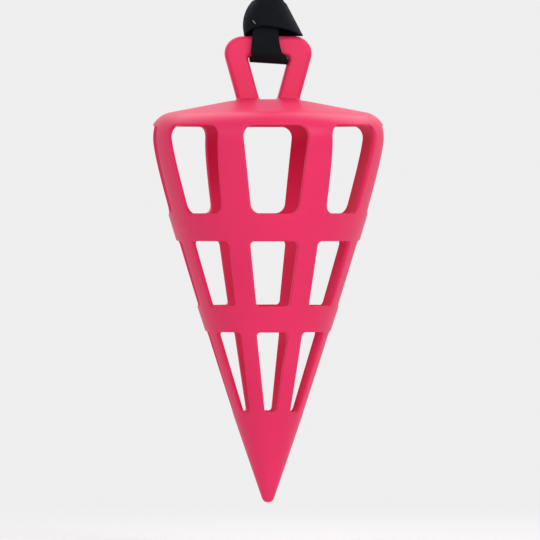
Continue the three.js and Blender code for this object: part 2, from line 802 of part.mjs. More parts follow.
function gateSpring() {
  const path = springPath();
  const sides = 6;
  const stations = 12 * springTurns + 6;
  const rings = [];
  for (let k = 0; k <= stations; k += 1) {
    const centre = path.getPoint(k / stations);
    const along = path.getTangent(k / stations);
    const sideways = new THREE.Vector3(0, 1, 0).addScaledVector(along, -along.y).normalize();
    const third = along.clone().cross(sideways);
    const ring = [];
    for (let i = 0; i < sides; i += 1) {
      const angle = (2 * Math.PI * i) / sides;
      const point = centre.clone().addScaledVector(sideways, springWireRadius * Math.cos(angle));
      ring.push(point.addScaledVector(third, springWireRadius * Math.sin(angle)));
    }
    rings.push(ring);
  }
  return joinRings(rings, false);
}

// The part: every piece is built in place and the group is lowered to the bearing point
const feeder = new THREE.Group();
const pieces = [
  ["feeder_shell", feederShell(), pinkPlastic],
  ["hanging_strap", hangingStrap(), blackWebbing],
  ["swivel_eye", swivelEye(), platedZinc],
  ["snap_body", snapBody(), platedZinc],
  ["snap_gate", snapGate(), platedZinc],
  ["gate_pin", gatePin(), platedZinc],
  ["gate_spring", gateSpring(), springSteel],
];
for (const [name, geometry, finish] of pieces) {
  const mesh = new THREE.Mesh(geometry, finish);
  mesh.name = name;
  feeder.add(mesh);
}
feeder.position.z = -bearingHeight;

export default feeder;
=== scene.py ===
import itertools
from math import asin, atan2, copysign, cos, hypot, pi, radians, sin, tan

import bmesh
import bpy
import numpy as np
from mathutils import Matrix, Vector


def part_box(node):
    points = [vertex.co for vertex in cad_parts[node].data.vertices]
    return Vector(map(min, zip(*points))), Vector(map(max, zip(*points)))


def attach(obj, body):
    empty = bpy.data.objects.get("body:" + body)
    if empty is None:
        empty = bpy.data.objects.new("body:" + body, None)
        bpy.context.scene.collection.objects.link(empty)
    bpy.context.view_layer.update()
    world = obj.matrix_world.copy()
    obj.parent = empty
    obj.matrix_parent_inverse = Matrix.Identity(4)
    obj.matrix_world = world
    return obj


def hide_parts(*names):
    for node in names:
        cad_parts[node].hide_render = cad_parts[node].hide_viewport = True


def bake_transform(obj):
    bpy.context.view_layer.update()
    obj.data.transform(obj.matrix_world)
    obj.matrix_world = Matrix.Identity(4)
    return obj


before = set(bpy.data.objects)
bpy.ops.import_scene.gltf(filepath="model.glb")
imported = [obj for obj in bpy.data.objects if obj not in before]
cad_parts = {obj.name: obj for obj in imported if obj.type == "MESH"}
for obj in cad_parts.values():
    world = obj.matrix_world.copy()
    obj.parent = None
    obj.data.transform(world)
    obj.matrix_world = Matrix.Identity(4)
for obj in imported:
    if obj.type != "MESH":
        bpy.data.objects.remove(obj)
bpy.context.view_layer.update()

scene = bpy.context.scene
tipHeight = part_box("feeder_shell")[0][2]  # the cone's tip; heights below are counted up from it

# each piece has its dictionary of settings beside its code, and in the functions it is s


# camera: a long lens, level with the middle of the cone

cameraSettings = {
    "azimuth": -4.0,
    "elevation": 0.6,
    "distance": 9.0,
    "fieldWidth": 0.6965,
    "sideways": 0.0026,
    "aimHeight": 0.3,
    "sensorWidth": 36,
    "clipEnd": 50,
}


def makeCamera(s):
    azimuth, elevation = radians(s["azimuth"]), radians(s["elevation"])
    outward = Vector((
        sin(azimuth) * cos(elevation),
        -cos(azimuth) * cos(elevation),
        sin(elevation),
    ))
    right = Vector((cos(azimuth), sin(azimuth), 0))
    target = Vector((0, 0, tipHeight + s["aimHeight"])) + right * s["sideways"]
    data = bpy.data.cameras.new("photoCamera")
    data.sensor_width = s["sensorWidth"]
    data.lens = s["sensorWidth"] * s["distance"] / s["fieldWidth"]
    data.clip_end = s["clipEnd"]
    camera = bpy.data.objects.new("photoCamera", data)
    camera.location = target + outward * s["distance"]
    camera.rotation_euler = (-outward).to_track_quat("-Z", "Y").to_euler()
    scene.collection.objects.link(camera)
    scene.camera = camera


makeCamera(cameraSettings)
print("camera ready")


# small helpers for meshes; a part is a list of points and a list of faces

def makeMesh(name, part, mergeDistance=0.0):
    mesh = bpy.data.meshes.new(name)
    mesh.from_pydata([tuple(v) for v in part[0]], [], part[1])
    work = bmesh.new()
    work.from_mesh(mesh)
    if mergeDistance > 0:
        bmesh.ops.remove_doubles(work, verts=work.verts, dist=mergeDistance)
        bmesh.ops.dissolve_degenerate(work, edges=work.edges, dist=mergeDistance)
    bmesh.ops.recalc_face_normals(work, faces=work.faces)
    work.to_mesh(mesh)
    work.free()
    return mesh


def addPiece(name, part, body, nodes, material, mergeDistance=1e-7, sharpAngle=None):
    mesh = makeMesh(name, part, mergeDistance)
    mesh.shade_smooth()
    if sharpAngle is not None:
        mesh.set_sharp_from_angle(angle=radians(sharpAngle))
    mesh.materials.append(material)
    piece = bpy.data.objects.new(name, mesh)
    scene.collection.objects.link(piece)
    if body:
        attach(piece, body)
    if nodes:
        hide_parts(*nodes)
    return piece


def joinParts(*parts):
    verts, faces = [], []
    for partVerts, partFaces in parts:
        start = len(verts)
        verts += list(partVerts)
        faces += [tuple(i + start for i in face) for face in partFaces]
    return verts, faces


def bridgeRings(rings, size, closeLoop=False, capEnds=False):
    # quads between rings that lie one after another in the list of points
    faces = []
    for r in range(rings if closeLoop else rings - 1):
        here, ahead = r * size, (r + 1) % rings * size
        for i in range(size):
            j = (i + 1) % size
            faces.append((here + i, here + j, ahead + j, ahead + i))
    if capEnds:
        faces.append(tuple(range(size)))
        faces.append(tuple(reversed(range((rings - 1) * size, rings * size))))
    return faces


def fullTurn(count):
    # even steps round the axis, counted from the front and beginning at the right
    return [pi / 2 + 2 * pi * k / count for k in range(count)]


def revolve(profile, turns, base=tipHeight):
    # profile is radius and height above the base; a radius of zero closes the end
    verts, faces, rows = [], [], []
    for radius, height in profile:
        ring = [(radius * sin(turn), -radius * cos(turn), base + height) for turn in turns]
        if radius < 1e-6:
            ring = [(0, 0, base + height)]
        rows.append(range(len(verts), len(verts) + len(ring)))
        verts += ring
    for low, high in zip(rows, rows[1:]):
        for k in range(len(turns)):
            j = (k + 1) % len(turns)
            if len(low) == 1:
                faces.append((low[0], high[j], high[k]))
            elif len(high) == 1:
                faces.append((low[k], low[j], high[0]))
            else:
                faces.append((low[k], low[j], high[j], high[k]))
    return verts, faces


def sweptTube(points, radius, sides, closed=False, tipReach=0.6):
    # a round wire along a list of points, with blunt tips when it is open
    count = len(points)
    tangents = []
    for i in range(count):
        before = points[i - 1] if closed else points[max(i - 1, 0)]
        ahead = points[(i + 1) % count] if closed else points[min(i + 1, count - 1)]
        tangents.append((ahead - before).normalized())
    side = tangents[0].orthogonal().normalized()
    verts = []
    for centre, along in zip(points, tangents):
        side = (side - along * side.dot(along)).normalized()
        third = along.cross(side)
        for k in range(sides):
            angle = 2 * pi * k / sides
            verts.append(centre + (side * cos(angle) + third * sin(angle)) * radius)
    faces = bridgeRings(count, sides, closed)
    if not closed:
        for end, sign in ((0, -1), (count - 1, 1)):
            base = end * sides
            verts.append(points[end] + tangents[end] * radius * tipReach * sign)
            faces += [(base + k, base + (k + 1) % sides, len(verts) - 1) for k in range(sides)]
    return verts, faces


def arcPoints(centre, radius, startAngle, endAngle, steps):
    angles = [startAngle + (endAngle - startAngle) * k / steps for k in range(steps + 1)]
    return [(centre[0] + radius * cos(a), centre[1] + radius * sin(a)) for a in angles]


def cornerArc(corner, before, after, radius, steps):
    # the arc that rounds a corner between two directions, as points with their outward directions
    if radius <= 0:
        return [(corner, None)]
    opening = before.angle(after) / 2
    centre = corner + (before + after).normalized() * (radius / sin(opening))
    reach = radius / tan(opening)
    start, end = corner + before * reach - centre, corner + after * reach - centre
    turn = atan2(start.cross(end), start.dot(end))
    arc = []
    for k in range(steps + 1):
        cosine, sine = cos(turn * k / steps), sin(turn * k / steps)
        spoke = Vector((start.x * cosine - start.y * sine, start.x * sine + start.y * cosine))
        arc.append((centre + spoke, spoke.normalized()))
    return arc


def roundedCorners(corners, radii, steps):
    corners = [Vector(corner) for corner in corners]
    arcs = []
    for i, corner in enumerate(corners):
        before = (corners[i - 1] - corner).normalized()
        after = (corners[(i + 1) % len(corners)] - corner).normalized()
        arcs.append(cornerArc(corner, before, after, radii[i], steps))
    return arcs


def roundedLoop(corners, radii, steps):
    return [point for arc in roundedCorners(corners, radii, steps) for point, _ in arc]


# helpers for materials, and shader groups shared by several of them

def feed(tree, socket, value):
    # a socket takes another node's output, or a plain number or colour
    if isinstance(value, bpy.types.NodeSocket):
        tree.links.new(value, socket)
    else:
        socket.default_value = value


def mathNode(tree, operation, *values):
    node = tree.nodes.new("ShaderNodeMath")
    node.operation = operation
    for socket, value in zip(node.inputs, values):
        feed(tree, socket, value)
    return node.outputs[0]


def noiseNode(tree, vector, scale, detail=2.0, roughness=0.5, distortion=0.0):
    node = tree.nodes.new("ShaderNodeTexNoise")
    labels = ("Vector", "Scale", "Detail", "Roughness", "Distortion")
    for label, value in zip(labels, (vector, scale, detail, roughness, distortion)):
        feed(tree, node.inputs[label], value)
    return node.outputs["Fac"]


def rangeNode(tree, value, low, high, toLow=0.0, toHigh=1.0):
    node = tree.nodes.new("ShaderNodeMapRange")
    node.clamp = True
    labels = ("Value", "From Min", "From Max", "To Min", "To Max")
    for label, number in zip(labels, (value, low, high, toLow, toHigh)):
        feed(tree, node.inputs[label], number)
    return node.outputs["Result"]


def stretchNode(tree, vector, scale):
    node = tree.nodes.new("ShaderNodeMapping")
    feed(tree, node.inputs["Vector"], vector)
    feed(tree, node.inputs["Scale"], scale)
    return node.outputs["Vector"]


def mixColours(tree, share, first, second):
    node = tree.nodes.new("ShaderNodeMix")
    node.data_type = "RGBA"
    for index, value in ((0, share), (6, first), (7, second)):
        feed(tree, node.inputs[index], (*value, 1) if isinstance(value, tuple) else value)
    return node.outputs[2]


def objectVector(tree):
    return tree.nodes.new("ShaderNodeTexCoord").outputs["Object"]


def newGroup(name, inputs, outputs):
    group = bpy.data.node_groups.new(name, "ShaderNodeTree")
    group.interface.new_socket(name="Vector", in_out="INPUT", socket_type="NodeSocketVector")
    for label, value in inputs.items():
        socket = group.interface.new_socket(name=label, in_out="INPUT", socket_type="NodeSocketFloat")
        socket.default_value = value
    for label in outputs:
        group.interface.new_socket(name=label, in_out="OUTPUT", socket_type="NodeSocketFloat")
    return group, group.nodes.new("NodeGroupInput").outputs, group.nodes.new("NodeGroupOutput").inputs


skinSettings = {
    "peel": (3.0, 0.55),  # a noise's detail and roughness
    "peelShare": 0.4,
    "swellDetail": 1.0,
    "swellShare": 0.6,
    "swellScale": 0.16,
    "toneScale": 7.0,
}


def makeSkinGroup(s):
    # the fine texture of a moulded or cast surface, and slow changes of tone
    group, given, result = newGroup("mouldSkin", {"Grain Scale": 600.0}, ("Height", "Tone"))
    grain = given["Grain Scale"]
    peel = noiseNode(group, given["Vector"], grain, *s["peel"])
    broad = mathNode(group, "MULTIPLY", grain, s["swellScale"])
    swell = noiseNode(group, given["Vector"], broad, s["swellDetail"])
    fine = mathNode(group, "MULTIPLY", peel, s["peelShare"])
    feed(group, result["Height"], mathNode(group, "MULTIPLY_ADD", swell, s["swellShare"], fine))
    feed(group, result["Tone"], noiseNode(group, given["Vector"], s["toneScale"]))
    return group


scuffSettings = {
    "upright": ((900.0, 900.0, 42.0), 0.4, (0.66, 0.74)),  # stretch, distortion and threshold
    "level": ((60.0, 60.0, 1100.0), 0.5, (0.68, 0.75)),
    "scratch": (2.0, 0.4),
    "patchScale": 14.0,
    "patch": (3.0, 0.6),
    "patches": (0.47, 0.66),
}


def makeScuffGroup(s):
    # short fine scratches in two directions, gathered in patches
    group, given, result = newGroup("rubMarks", {"Amount": 0.5}, ("Mask",))
    lines = []
    for direction in ("upright", "level"):
        stretch, distortion, limits = s[direction]
        where = stretchNode(group, given["Vector"], stretch)
        lines.append(rangeNode(group, noiseNode(group, where, 1.0, *s["scratch"], distortion), *limits))
    broad = noiseNode(group, given["Vector"], s["patchScale"], *s["patch"])
    patches = rangeNode(group, broad, *s["patches"])
    marks = mathNode(group, "MULTIPLY", mathNode(group, "MAXIMUM", *lines), patches)
    feed(group, result["Mask"], mathNode(group, "MULTIPLY", marks, given["Amount"]))
    return group


weaveSettings = {
    "ridgePower": 0.6,
    "crownPower": 0.45,
    "fibreShare": 0.12,
    "fibreStretch": (5200.0, 900.0, 900.0),
    "toneStretch": (420.0, 60.0, 60.0),
}


def makeWeaveGroup(s):
    # rounded yarn floats in a brick pattern; yarn width and float length in metres
    group, given, result = newGroup(
        "webbingWeave", {"Yarn Width": 0.0012, "Float Length": 0.0024}, ("Height", "Yarn Tone")
    )
    split = group.nodes.new("ShaderNodeSeparateXYZ")
    feed(group, split.inputs[0], given["Vector"])
    across = mathNode(group, "DIVIDE", split.outputs["X"], given["Yarn Width"])
    along = mathNode(group, "DIVIDE", split.outputs["Y"], given["Float Length"])
    odd = mathNode(group, "FLOORED_MODULO", mathNode(group, "FLOOR", across), 2.0)
    shifted = mathNode(group, "ADD", along, mathNode(group, "MULTIPLY", odd, 0.5))
    rounds = []
    for place, power in ((across, s["ridgePower"]), (shifted, s["crownPower"])):
        wave = mathNode(group, "SINE", mathNode(group, "MULTIPLY", place, pi))
        rounds.append(mathNode(group, "POWER", mathNode(group, "ABSOLUTE", wave), power))
    yarn = mathNode(group, "MULTIPLY", mathNode(group, "MULTIPLY", *rounds), 1 - s["fibreShare"])
    fibre = noiseNode(group, stretchNode(group, given["Vector"], s["fibreStretch"]), 1.0)
    tone = noiseNode(group, stretchNode(group, given["Vector"], s["toneStretch"]), 1.0, 2.0, 0.6)
    feed(group, result["Height"], mathNode(group, "MULTIPLY_ADD", fibre, s["fibreShare"], yarn))
    feed(group, result["Yarn Tone"], tone)
    return group


mouldSkin = makeSkinGroup(skinSettings)
rubMarks = makeScuffGroup(scuffSettings)
webbingWeave = makeWeaveGroup(weaveSettings)


def startMaterial(name, shaderValues):
    material = bpy.data.materials.new(name)
    material.use_nodes = True
    shader = material.node_tree.nodes["Principled BSDF"]
    for label, value in shaderValues.items():
        shader.inputs[label].default_value = value
    return material, material.node_tree, shader.inputs


def placeGroup(tree, group, vector, values):
    node = tree.nodes.new("ShaderNodeGroup")
    node.node_tree = group
    for label, value in {"Vector": vector, **values}.items():
        feed(tree, node.inputs[label], value)
    return node.outputs


def addBump(tree, shader, height, strength, distance):
    bump = tree.nodes.new("ShaderNodeBump")
    for label, value in (("Strength", strength), ("Distance", distance), ("Height", height)):
        feed(tree, bump.inputs[label], value)
    feed(tree, shader["Normal"], bump.outputs["Normal"])


middleTones = (0.3, 0.7)  # where a noise's usual values lie

pinkSettings = {
    "shader": {"Specular IOR Level": 0.22, "Coat Weight": 0.02, "Coat Roughness": 0.3},
    "light": (0.795, 0.026, 0.119),
    "dark": (0.755, 0.021, 0.108),
    "rubbed": (0.90, 0.11, 0.22),
    "rubShare": 0.5,
    "rubAmount": 0.55,
    "rubRoughness": 0.25,
    "roughness": (0.38, 0.46),
    "roughnessFrom": "Tone",
    "grainScale": 620.0,
    "bump": (0.35, 0.00012),
}
zincSettings = {
    "shader": {"IOR": 1.5},
    "light": (0.48, 0.48, 0.49),
    "dark": (0.38, 0.38, 0.39),
    "rubbed": (0.66, 0.66, 0.67),
    "rubbedMetallic": 0.92,
    "rubShare": 1.0,
    "rubAmount": 0.45,
    "rubRoughness": 0.2,
    "roughness": (0.22, 0.36),
    "roughnessFrom": "Height",
    "grainScale": 900.0,
    "bump": (0.25, 0.00006),
}
springWireSettings = {
    **zincSettings,
    "light": (0.55, 0.55, 0.56),
    "dark": (0.42, 0.42, 0.43),
    "rubAmount": 0.2,
    "roughness": (0.22, 0.32),
    "grainScale": 1500.0,
}


def makeHardSurface(name, s):
    # moulded plastic or plated metal, with a fine skin, slow changes of tone and rub marks
    material, tree, shader = startMaterial(name, s["shader"])
    where = objectVector(tree)
    skin = placeGroup(tree, mouldSkin, where, {"Grain Scale": s["grainScale"]})
    marks = placeGroup(tree, rubMarks, where, {"Amount": s["rubAmount"]})["Mask"]
    base = mixColours(tree, rangeNode(tree, skin["Tone"], *middleTones), s["dark"], s["light"])
    rubbed = mathNode(tree, "MULTIPLY", marks, s["rubShare"])
    feed(tree, shader["Base Color"], mixColours(tree, rubbed, base, s["rubbed"]))
    smooth = rangeNode(tree, skin[s["roughnessFrom"]], *middleTones, *s["roughness"])
    feed(tree, shader["Roughness"], mathNode(tree, "MULTIPLY_ADD", marks, s["rubRoughness"], smooth))
    if "rubbedMetallic" in s:
        feed(tree, shader["Metallic"], rangeNode(tree, marks, 0.0, 1.0, 1.0, s["rubbedMetallic"]))
    addBump(tree, shader, skin["Height"], *s["bump"])
    return material


webbingSettings = {
    "shader": {
        "Sheen Weight": 0.02,
        "Sheen Roughness": 0.4,
        "Sheen Tint": (0.5, 0.62, 0.8, 1),
        "Specular IOR Level": 0.09,
    },
    # dark is the painted shade in the weave's grooves and the tone of the darker yarns; light is the
    # crowns of the lighter yarns
    "dark": (0.0022, 0.0032, 0.0042),
    "light": (0.0062, 0.0088, 0.0114),
    "yarnWidth": 0.00118,
    "floatLength": 0.0026,
    "grooveShadeHeights": (0.15, 0.95),
    "leastTone": 0.55,
    "roughness": (0.62, 0.82),
    "bump": (0.85, 0.00028),
}


def makeWebbing(name, s):
    material, tree, shader = startMaterial(name, s["shader"])
    uv = tree.nodes.new("ShaderNodeUVMap")
    uv.uv_map = "webbingPlace"
    weave = placeGroup(
        tree, webbingWeave, uv.outputs["UV"],
        {"Yarn Width": s["yarnWidth"], "Float Length": s["floatLength"]},
    )
    # painted shade: the colour darkens where the weave is low, in the grooves between yarn floats, and
    # stays light on the crowns; the yarns' own random tone is mixed in
    paintedGrooveShade = rangeNode(tree, weave["Height"], *s["grooveShadeHeights"])
    tones = rangeNode(tree, weave["Yarn Tone"], *middleTones, s["leastTone"], 1.0)
    share = mathNode(tree, "MULTIPLY", paintedGrooveShade, tones)
    feed(tree, shader["Base Color"], mixColours(tree, share, s["dark"], s["light"]))
    feed(tree, shader["Roughness"], rangeNode(tree, weave["Yarn Tone"], *middleTones, *s["roughness"]))
    addBump(tree, shader, weave["Height"], *s["bump"])
    return material


threadSettings = {
    "shader": {"Sheen Weight": 0.2, "Sheen Roughness": 0.4},
    "twist": (2400.0, 2400.0, 900.0),
    "twistTones": (0.35, 0.65),
    "roughness": (0.5, 0.7),
    "bump": (0.5, 0.00008),
    "black": ((0.008, 0.009, 0.011), (0.028, 0.030, 0.034)),
    "pale": ((0.16, 0.17, 0.18), (0.42, 0.43, 0.44)),
}


def makeThread(name, s, tones):
    material, tree, shader = startMaterial(name, s["shader"])
    twist = noiseNode(tree, stretchNode(tree, objectVector(tree), s["twist"]), 1.0)
    share = rangeNode(tree, twist, *s["twistTones"])
    feed(tree, shader["Base Color"], mixColours(tree, share, *s[tones]))
    feed(tree, shader["Roughness"], rangeNode(tree, twist, *middleTones, *s["roughness"]))
    addBump(tree, shader, twist, *s["bump"])
    return material


pinkPlastic = makeHardSurface("pinkPlastic", pinkSettings)
platedZinc = makeHardSurface("platedZinc", zincSettings)
springWire = makeHardSurface("springWire", springWireSettings)
blackWebbing = makeWebbing("blackWebbing", webbingSettings)
blackThread = makeThread("blackThread", threadSettings, "black")
looseThreadMaterial = makeThread("looseThreadEnd", threadSettings, "pale")
print("materials ready")


# the moulded shell: cone, round shoulder, shallow dome, and three rows of windows

shellSettings = {
    "bodyHeight": 0.520,
    "shoulderRadius": 0.1526,
    "shoulderHeight": 0.471,
    "shoulderRound": 0.033,
    "crownRadius": 0.0387,
    "crownBlend": 0.016,
    "centreRing": 0.008,
    "tipSteps": 8,
    "sideSteps": 120,
    "shoulderSteps": 24,
    "domeSteps": 15,
    "rimSteps": 8,
    "wall": 0.0065,
    "wallLean": 17.0,
    "cavityTipRadius": 0.0017,
    "tipLean": 19.1,
    "hipPull": 0.038,
    "tipPull": 0.195,
    "risingShare": 0.78,
    "columns": 8,
    "outerEdge": 0.0019,
    "innerEdge": 0.0012,
    "edgeSteps": 4,
    "cutDepths": (0.33, 0.67),
    "skinBlends": (1.0, 0.72, 0.46, 0.24, 0.09),
    "levelSegments": 18,
    "halfCorner": 4,
    "rows": [
        {"top": 0.4857, "foot": 0.373, "ribTop": 0.0275, "ribFoot": 0.0395,
         "corner": 0.014, "uprightSegments": 26},
        {"top": 0.3376, "foot": 0.2543, "ribTop": 0.028, "ribFoot": 0.028,
         "corner": 0.0055, "uprightSegments": 22},
        {"top": 0.2208, "foot": 0.1178, "ribTop": 0.0205, "ribFoot": 0.0205,
         "corner": 0.0048, "uprightSegments": 26},
    ],
    "cellTop": 0.4915,
    "cellFoot": 0.1105,
    "cellClearance": 0.0005,
    "tipRings": 9,
    "ringSkip": 3,
    "mergeDistance": 2e-5,
}


def shellProfile(s, inset):
    # radius and height from the tip to the top of the dome
    tipRadius = s["wall"] + s["cavityTipRadius"]
    lean = radians(s["tipLean"])
    centre = np.array((s["shoulderRadius"] - s["shoulderRound"], s["shoulderHeight"]))
    rim = np.array((s["crownRadius"], s["bodyHeight"]))
    reach = centre - rim
    domeLean = -atan2(reach[1], reach[0]) - asin(s["shoulderRound"] / np.linalg.norm(reach))
    points = arcPoints((0, tipRadius), tipRadius - inset, -pi / 2, -lean, s["tipSteps"])
    low = np.array((cos(lean), -sin(lean))) * (tipRadius - inset) + (0, tipRadius)
    lowPull = low + np.array((sin(lean), cos(lean))) * s["tipPull"]
    widest = np.array((s["shoulderRadius"] - inset, s["shoulderHeight"]))
    widestPull = widest - (0, s["hipPull"])
    for t in np.linspace(0, 1, s["sideSteps"] + 1)[1:]:
        u = 1 - t
        points.append(u**3 * low + 3 * u * u * t * lowPull + 3 * u * t * t * widestPull + t**3 * widest)
    bend = s["shoulderRound"] - inset
    points += arcPoints(centre, bend, 0, pi / 2 - domeLean, s["shoulderSteps"])[1:]
    edge, rim = np.array(points[-1]), rim - (0, inset)
    start = rim + (edge - rim) / np.linalg.norm(edge - rim) * s["crownBlend"]
    end = rim - (s["crownBlend"], 0)
    points += [edge + (start - edge) * k / s["domeSteps"] for k in range(1, s["domeSteps"])]
    for t in np.linspace(0, 1, s["rimSteps"] + 1):
        points.append((1 - t) ** 2 * start + 2 * t * (1 - t) * rim + t * t * end)
    points += [(s["centreRing"], rim[1]), (0, rim[1])]
    return [(float(radius), float(height)) for radius, height in points]


def peakIndex(profile):
    return int(np.argmax([radius for radius, _ in profile]))


def radiusTable(s, profile):
    # matching heights and radii of the part of a profile that rises
    limit = s["shoulderHeight"] + s["shoulderRound"] * s["risingShare"]
    side = np.array([point for point in profile if point[1] <= limit])
    side = side[: np.argmax(side[:, 1]) + 1]
    return side[:, 1].copy(), side[:, 0].copy()


outerProfile = shellProfile(shellSettings, 0.0)
innerProfile = shellProfile(shellSettings, shellSettings["wall"])
outerTable = radiusTable(shellSettings, outerProfile)
innerTable = radiusTable(shellSettings, innerProfile)


def outerRadius(height):
    return float(np.interp(height, *outerTable))


def innerRadius(height):
    return float(np.interp(height, *innerTable))


def windowOutline(s, row):
    # corner arcs and straight sides of one window, as arc length and height, with outward directions
    sector = 2 * pi / s["columns"]
    foot, top, half = row["foot"], row["top"], s["halfCorner"]
    halfFoot = (outerRadius(foot) * sector - row["ribFoot"]) / 2
    halfTop = (outerRadius(top) * sector - row["ribTop"]) / 2
    corners = [(-halfFoot, foot), (halfFoot, foot), (halfTop, top), (-halfTop, top)]
    arcs = roundedCorners(corners, [row["corner"]] * 4, 2 * half)
    segments = [s["levelSegments"], row["uprightSegments"]] * 2
    loop = []
    for i in range(4):
        arc, nextArc = arcs[i], arcs[(i + 1) % 4]
        (start, outward), end = arc[-1], nextArc[0][0]
        straight = segments[i] - 2 * half
        loop += arc[half:]
        loop += [(start.lerp(end, k / straight), outward) for k in range(1, straight)]
        loop += nextArc[:half]
    return loop, segments


def cellOutline(low, high, segments):
    # the cell's outline in shares of the sector and in height, in step with the window's loop
    corners = [Vector((-0.5, low)), Vector((0.5, low)), Vector((0.5, high)), Vector((-0.5, high))]
    points = []
    for i, count in enumerate(segments):
        points += [corners[i].lerp(corners[(i + 1) % 4], k / count) for k in range(count)]
    return points


def buildCell(s, row, low, high, column):
    # both skins from the cell's outline to the window, and the rounded cut between them
    sector = 2 * pi / s["columns"]
    loop, segments = windowOutline(s, row)
    outline = cellOutline(low, high, segments)
    verts = []

    def addRing(offset, depth, blend=0.0):
        for (point, outward), far in zip(loop, outline):
            place = point + outward * offset
            angle = place.x / outerRadius(place.y) + column * sector
            angle += ((far.x + column) * sector - angle) * blend
            height = place.y + (far.y - place.y) * blend
            radius = outerRadius(height) + (innerRadius(height) - outerRadius(height)) * depth
            verts.append((radius * sin(angle), -radius * cos(angle), tipHeight + height))

    outer, inner, blends = s["outerEdge"], s["innerEdge"], s["skinBlends"]
    thickness = s["wall"] / cos(radians(s["wallLean"]))
    turns = [pi / 2 * (1 - k / s["edgeSteps"]) for k in range(s["edgeSteps"] + 1)]
    for blend in blends:
        addRing(outer, 0, blend)
    for turn in turns:
        addRing(outer * (1 - cos(turn)), outer * (1 - sin(turn)) / thickness)
    for depth in s["cutDepths"]:
        addRing(0, depth)
    for turn in reversed(turns):
        addRing(inner * (1 - cos(turn)), 1 - inner * (1 - sin(turn)) / thickness)
    for blend in reversed(blends):
        addRing(inner, 1, blend)
    return verts, bridgeRings(len(verts) // len(loop), len(loop))


def buildShell(s):
    rows, columns, perCell = s["rows"], s["columns"], s["levelSegments"]
    between = [(upper["foot"] + lower["top"]) / 2 for upper, lower in zip(rows, rows[1:])]
    limits = [s["cellTop"], *between, s["cellFoot"]]
    parts = []
    for row, high, low in zip(rows, limits, limits[1:]):
        parts += [buildCell(s, row, low, high, column) for column in range(columns)]
    # the plain parts above and below the windows, in step with the cells
    turns = [(-0.5 + k / perCell) * (2 * pi / columns) for k in range(perCell * columns)]
    for profile, radiusOf in ((outerProfile, outerRadius), (innerProfile, innerRadius)):
        peak = peakIndex(profile)
        above = [p for p in profile[peak + 1:] if p[1] > limits[0] + s["cellClearance"]]
        below = [p for p in profile[:peak] if p[1] < limits[-1] - s["cellClearance"]]
        parts.append(revolve([(radiusOf(limits[0]), limits[0])] + above, turns))
        below = below[: s["tipRings"]] + below[s["tipRings"]:: s["ringSkip"]]
        parts.append(revolve(below + [(radiusOf(limits[-1]), limits[-1])], turns))
    return addPiece(
        "feederCone", joinParts(*parts), "feeder", ["feeder_shell"], pinkPlastic,
        s["mergeDistance"],
    )


feederCone = buildShell(shellSettings)
print("shell ready", len(feederCone.data.vertices))


# the handle loop on the crown, with rounded edges and a small fillet at each foot

handleSettings = {
    "rise": 0.0812,
    "baseWidth": 0.0806,
    "topWidth": 0.1256,
    "legWidth": 0.0286,
    "barHeight": 0.0258,
    "depth": 0.026,
    "corner": 0.022,
    "holeCorner": 0.0036,
    "edge": 0.0058,
    "edgeLimit": 0.9,
    "edgeSteps": 7,
    "flatShares": (0.25, 0.5, 0.75),
    "fillet": 0.0032,
    "filletSteps": 8,
    "filletLap": 0.00005,
    "straightFrom": 1.2,
    "sunkDepth": 0.0012,
    "legRings": 12,
    "cornerRings": 14,
    "barRings": 16,
    "mergeDistance": 1e-6,
}
handleLean = (handleSettings["topWidth"] - handleSettings["baseWidth"]) / (2 * handleSettings["rise"])
domeTable = np.array(sorted(outerProfile[peakIndex(outerProfile):])).T.copy()


def crownHeight(point):
    # height of the dome's skin under a point
    return float(np.interp(hypot(point.x, point.y), *domeTable))


def handleStations(s):
    # pairs of inner and outer points from the left foot, over the bar, to the right foot
    base = shellSettings["bodyHeight"]
    top, foot = base + s["rise"], base + s["fillet"] * s["straightFrom"]
    holeTop = top - s["barHeight"]
    legDown, inward = Vector((-handleLean, -1)).normalized(), Vector((-1, 0))
    legRings, barRings = s["legRings"], s["barRings"] // 2

    def legPoint(height, inset):
        return Vector((s["baseWidth"] / 2 + handleLean * (height - base) - inset, height))

    lines = []
    for height, inset, radius in (
        (holeTop, s["legWidth"], s["holeCorner"]), (top, 0, s["corner"]),
    ):
        corner = cornerArc(legPoint(height, inset), legDown, inward, radius, s["cornerRings"])
        line = [point for point, _ in corner]
        start, end = line[0], line[-1]
        line = [legPoint(foot, inset).lerp(start, k / legRings) for k in range(legRings)] + line
        lines.append(line + [end.lerp(Vector((0, height)), k / barRings) for k in range(1, barRings)])
    right = list(zip(*lines))
    left = [(Vector((-a.x, a.y)), Vector((-b.x, b.y))) for a, b in right]
    return left + [(Vector((0, holeTop)), Vector((0, top)))] + right[::-1]


def handleRing(s, inner, outer):
    # points and normals of a rounded rectangle from the inner to the outer point, as deep as the handle
    middle, outward = (inner + outer) / 2, (outer - inner).normalized()
    reach, halfDepth = (outer - inner).length / 2, s["depth"] / 2
    edge, steps = min(s["edge"], reach * s["edgeLimit"]), s["edgeSteps"]

    def ringPoint(quarter, share):
        acrossSign, depthSign = ((1, -1), (1, 1), (-1, 1), (-1, -1))[quarter % 4]
        angle = pi / 2 * (quarter - 1 + share)
        cosine, sine = cos(angle), sin(angle)
        flat = middle + outward * (acrossSign * (reach - edge) + edge * cosine)
        point = Vector((flat.x, depthSign * (halfDepth - edge) + edge * sine, flat.y))
        return point, Vector((outward.x * cosine, sine, outward.y * cosine))

    ring = []
    for quarter in range(4):
        ring += [ringPoint(quarter, k / steps) for k in range(steps + 1)]
        (last, normal), ahead = ring[-1], ringPoint(quarter + 1, 0)[0]
        ring += [(last.lerp(ahead, share), normal) for share in s["flatShares"]]
    return ring


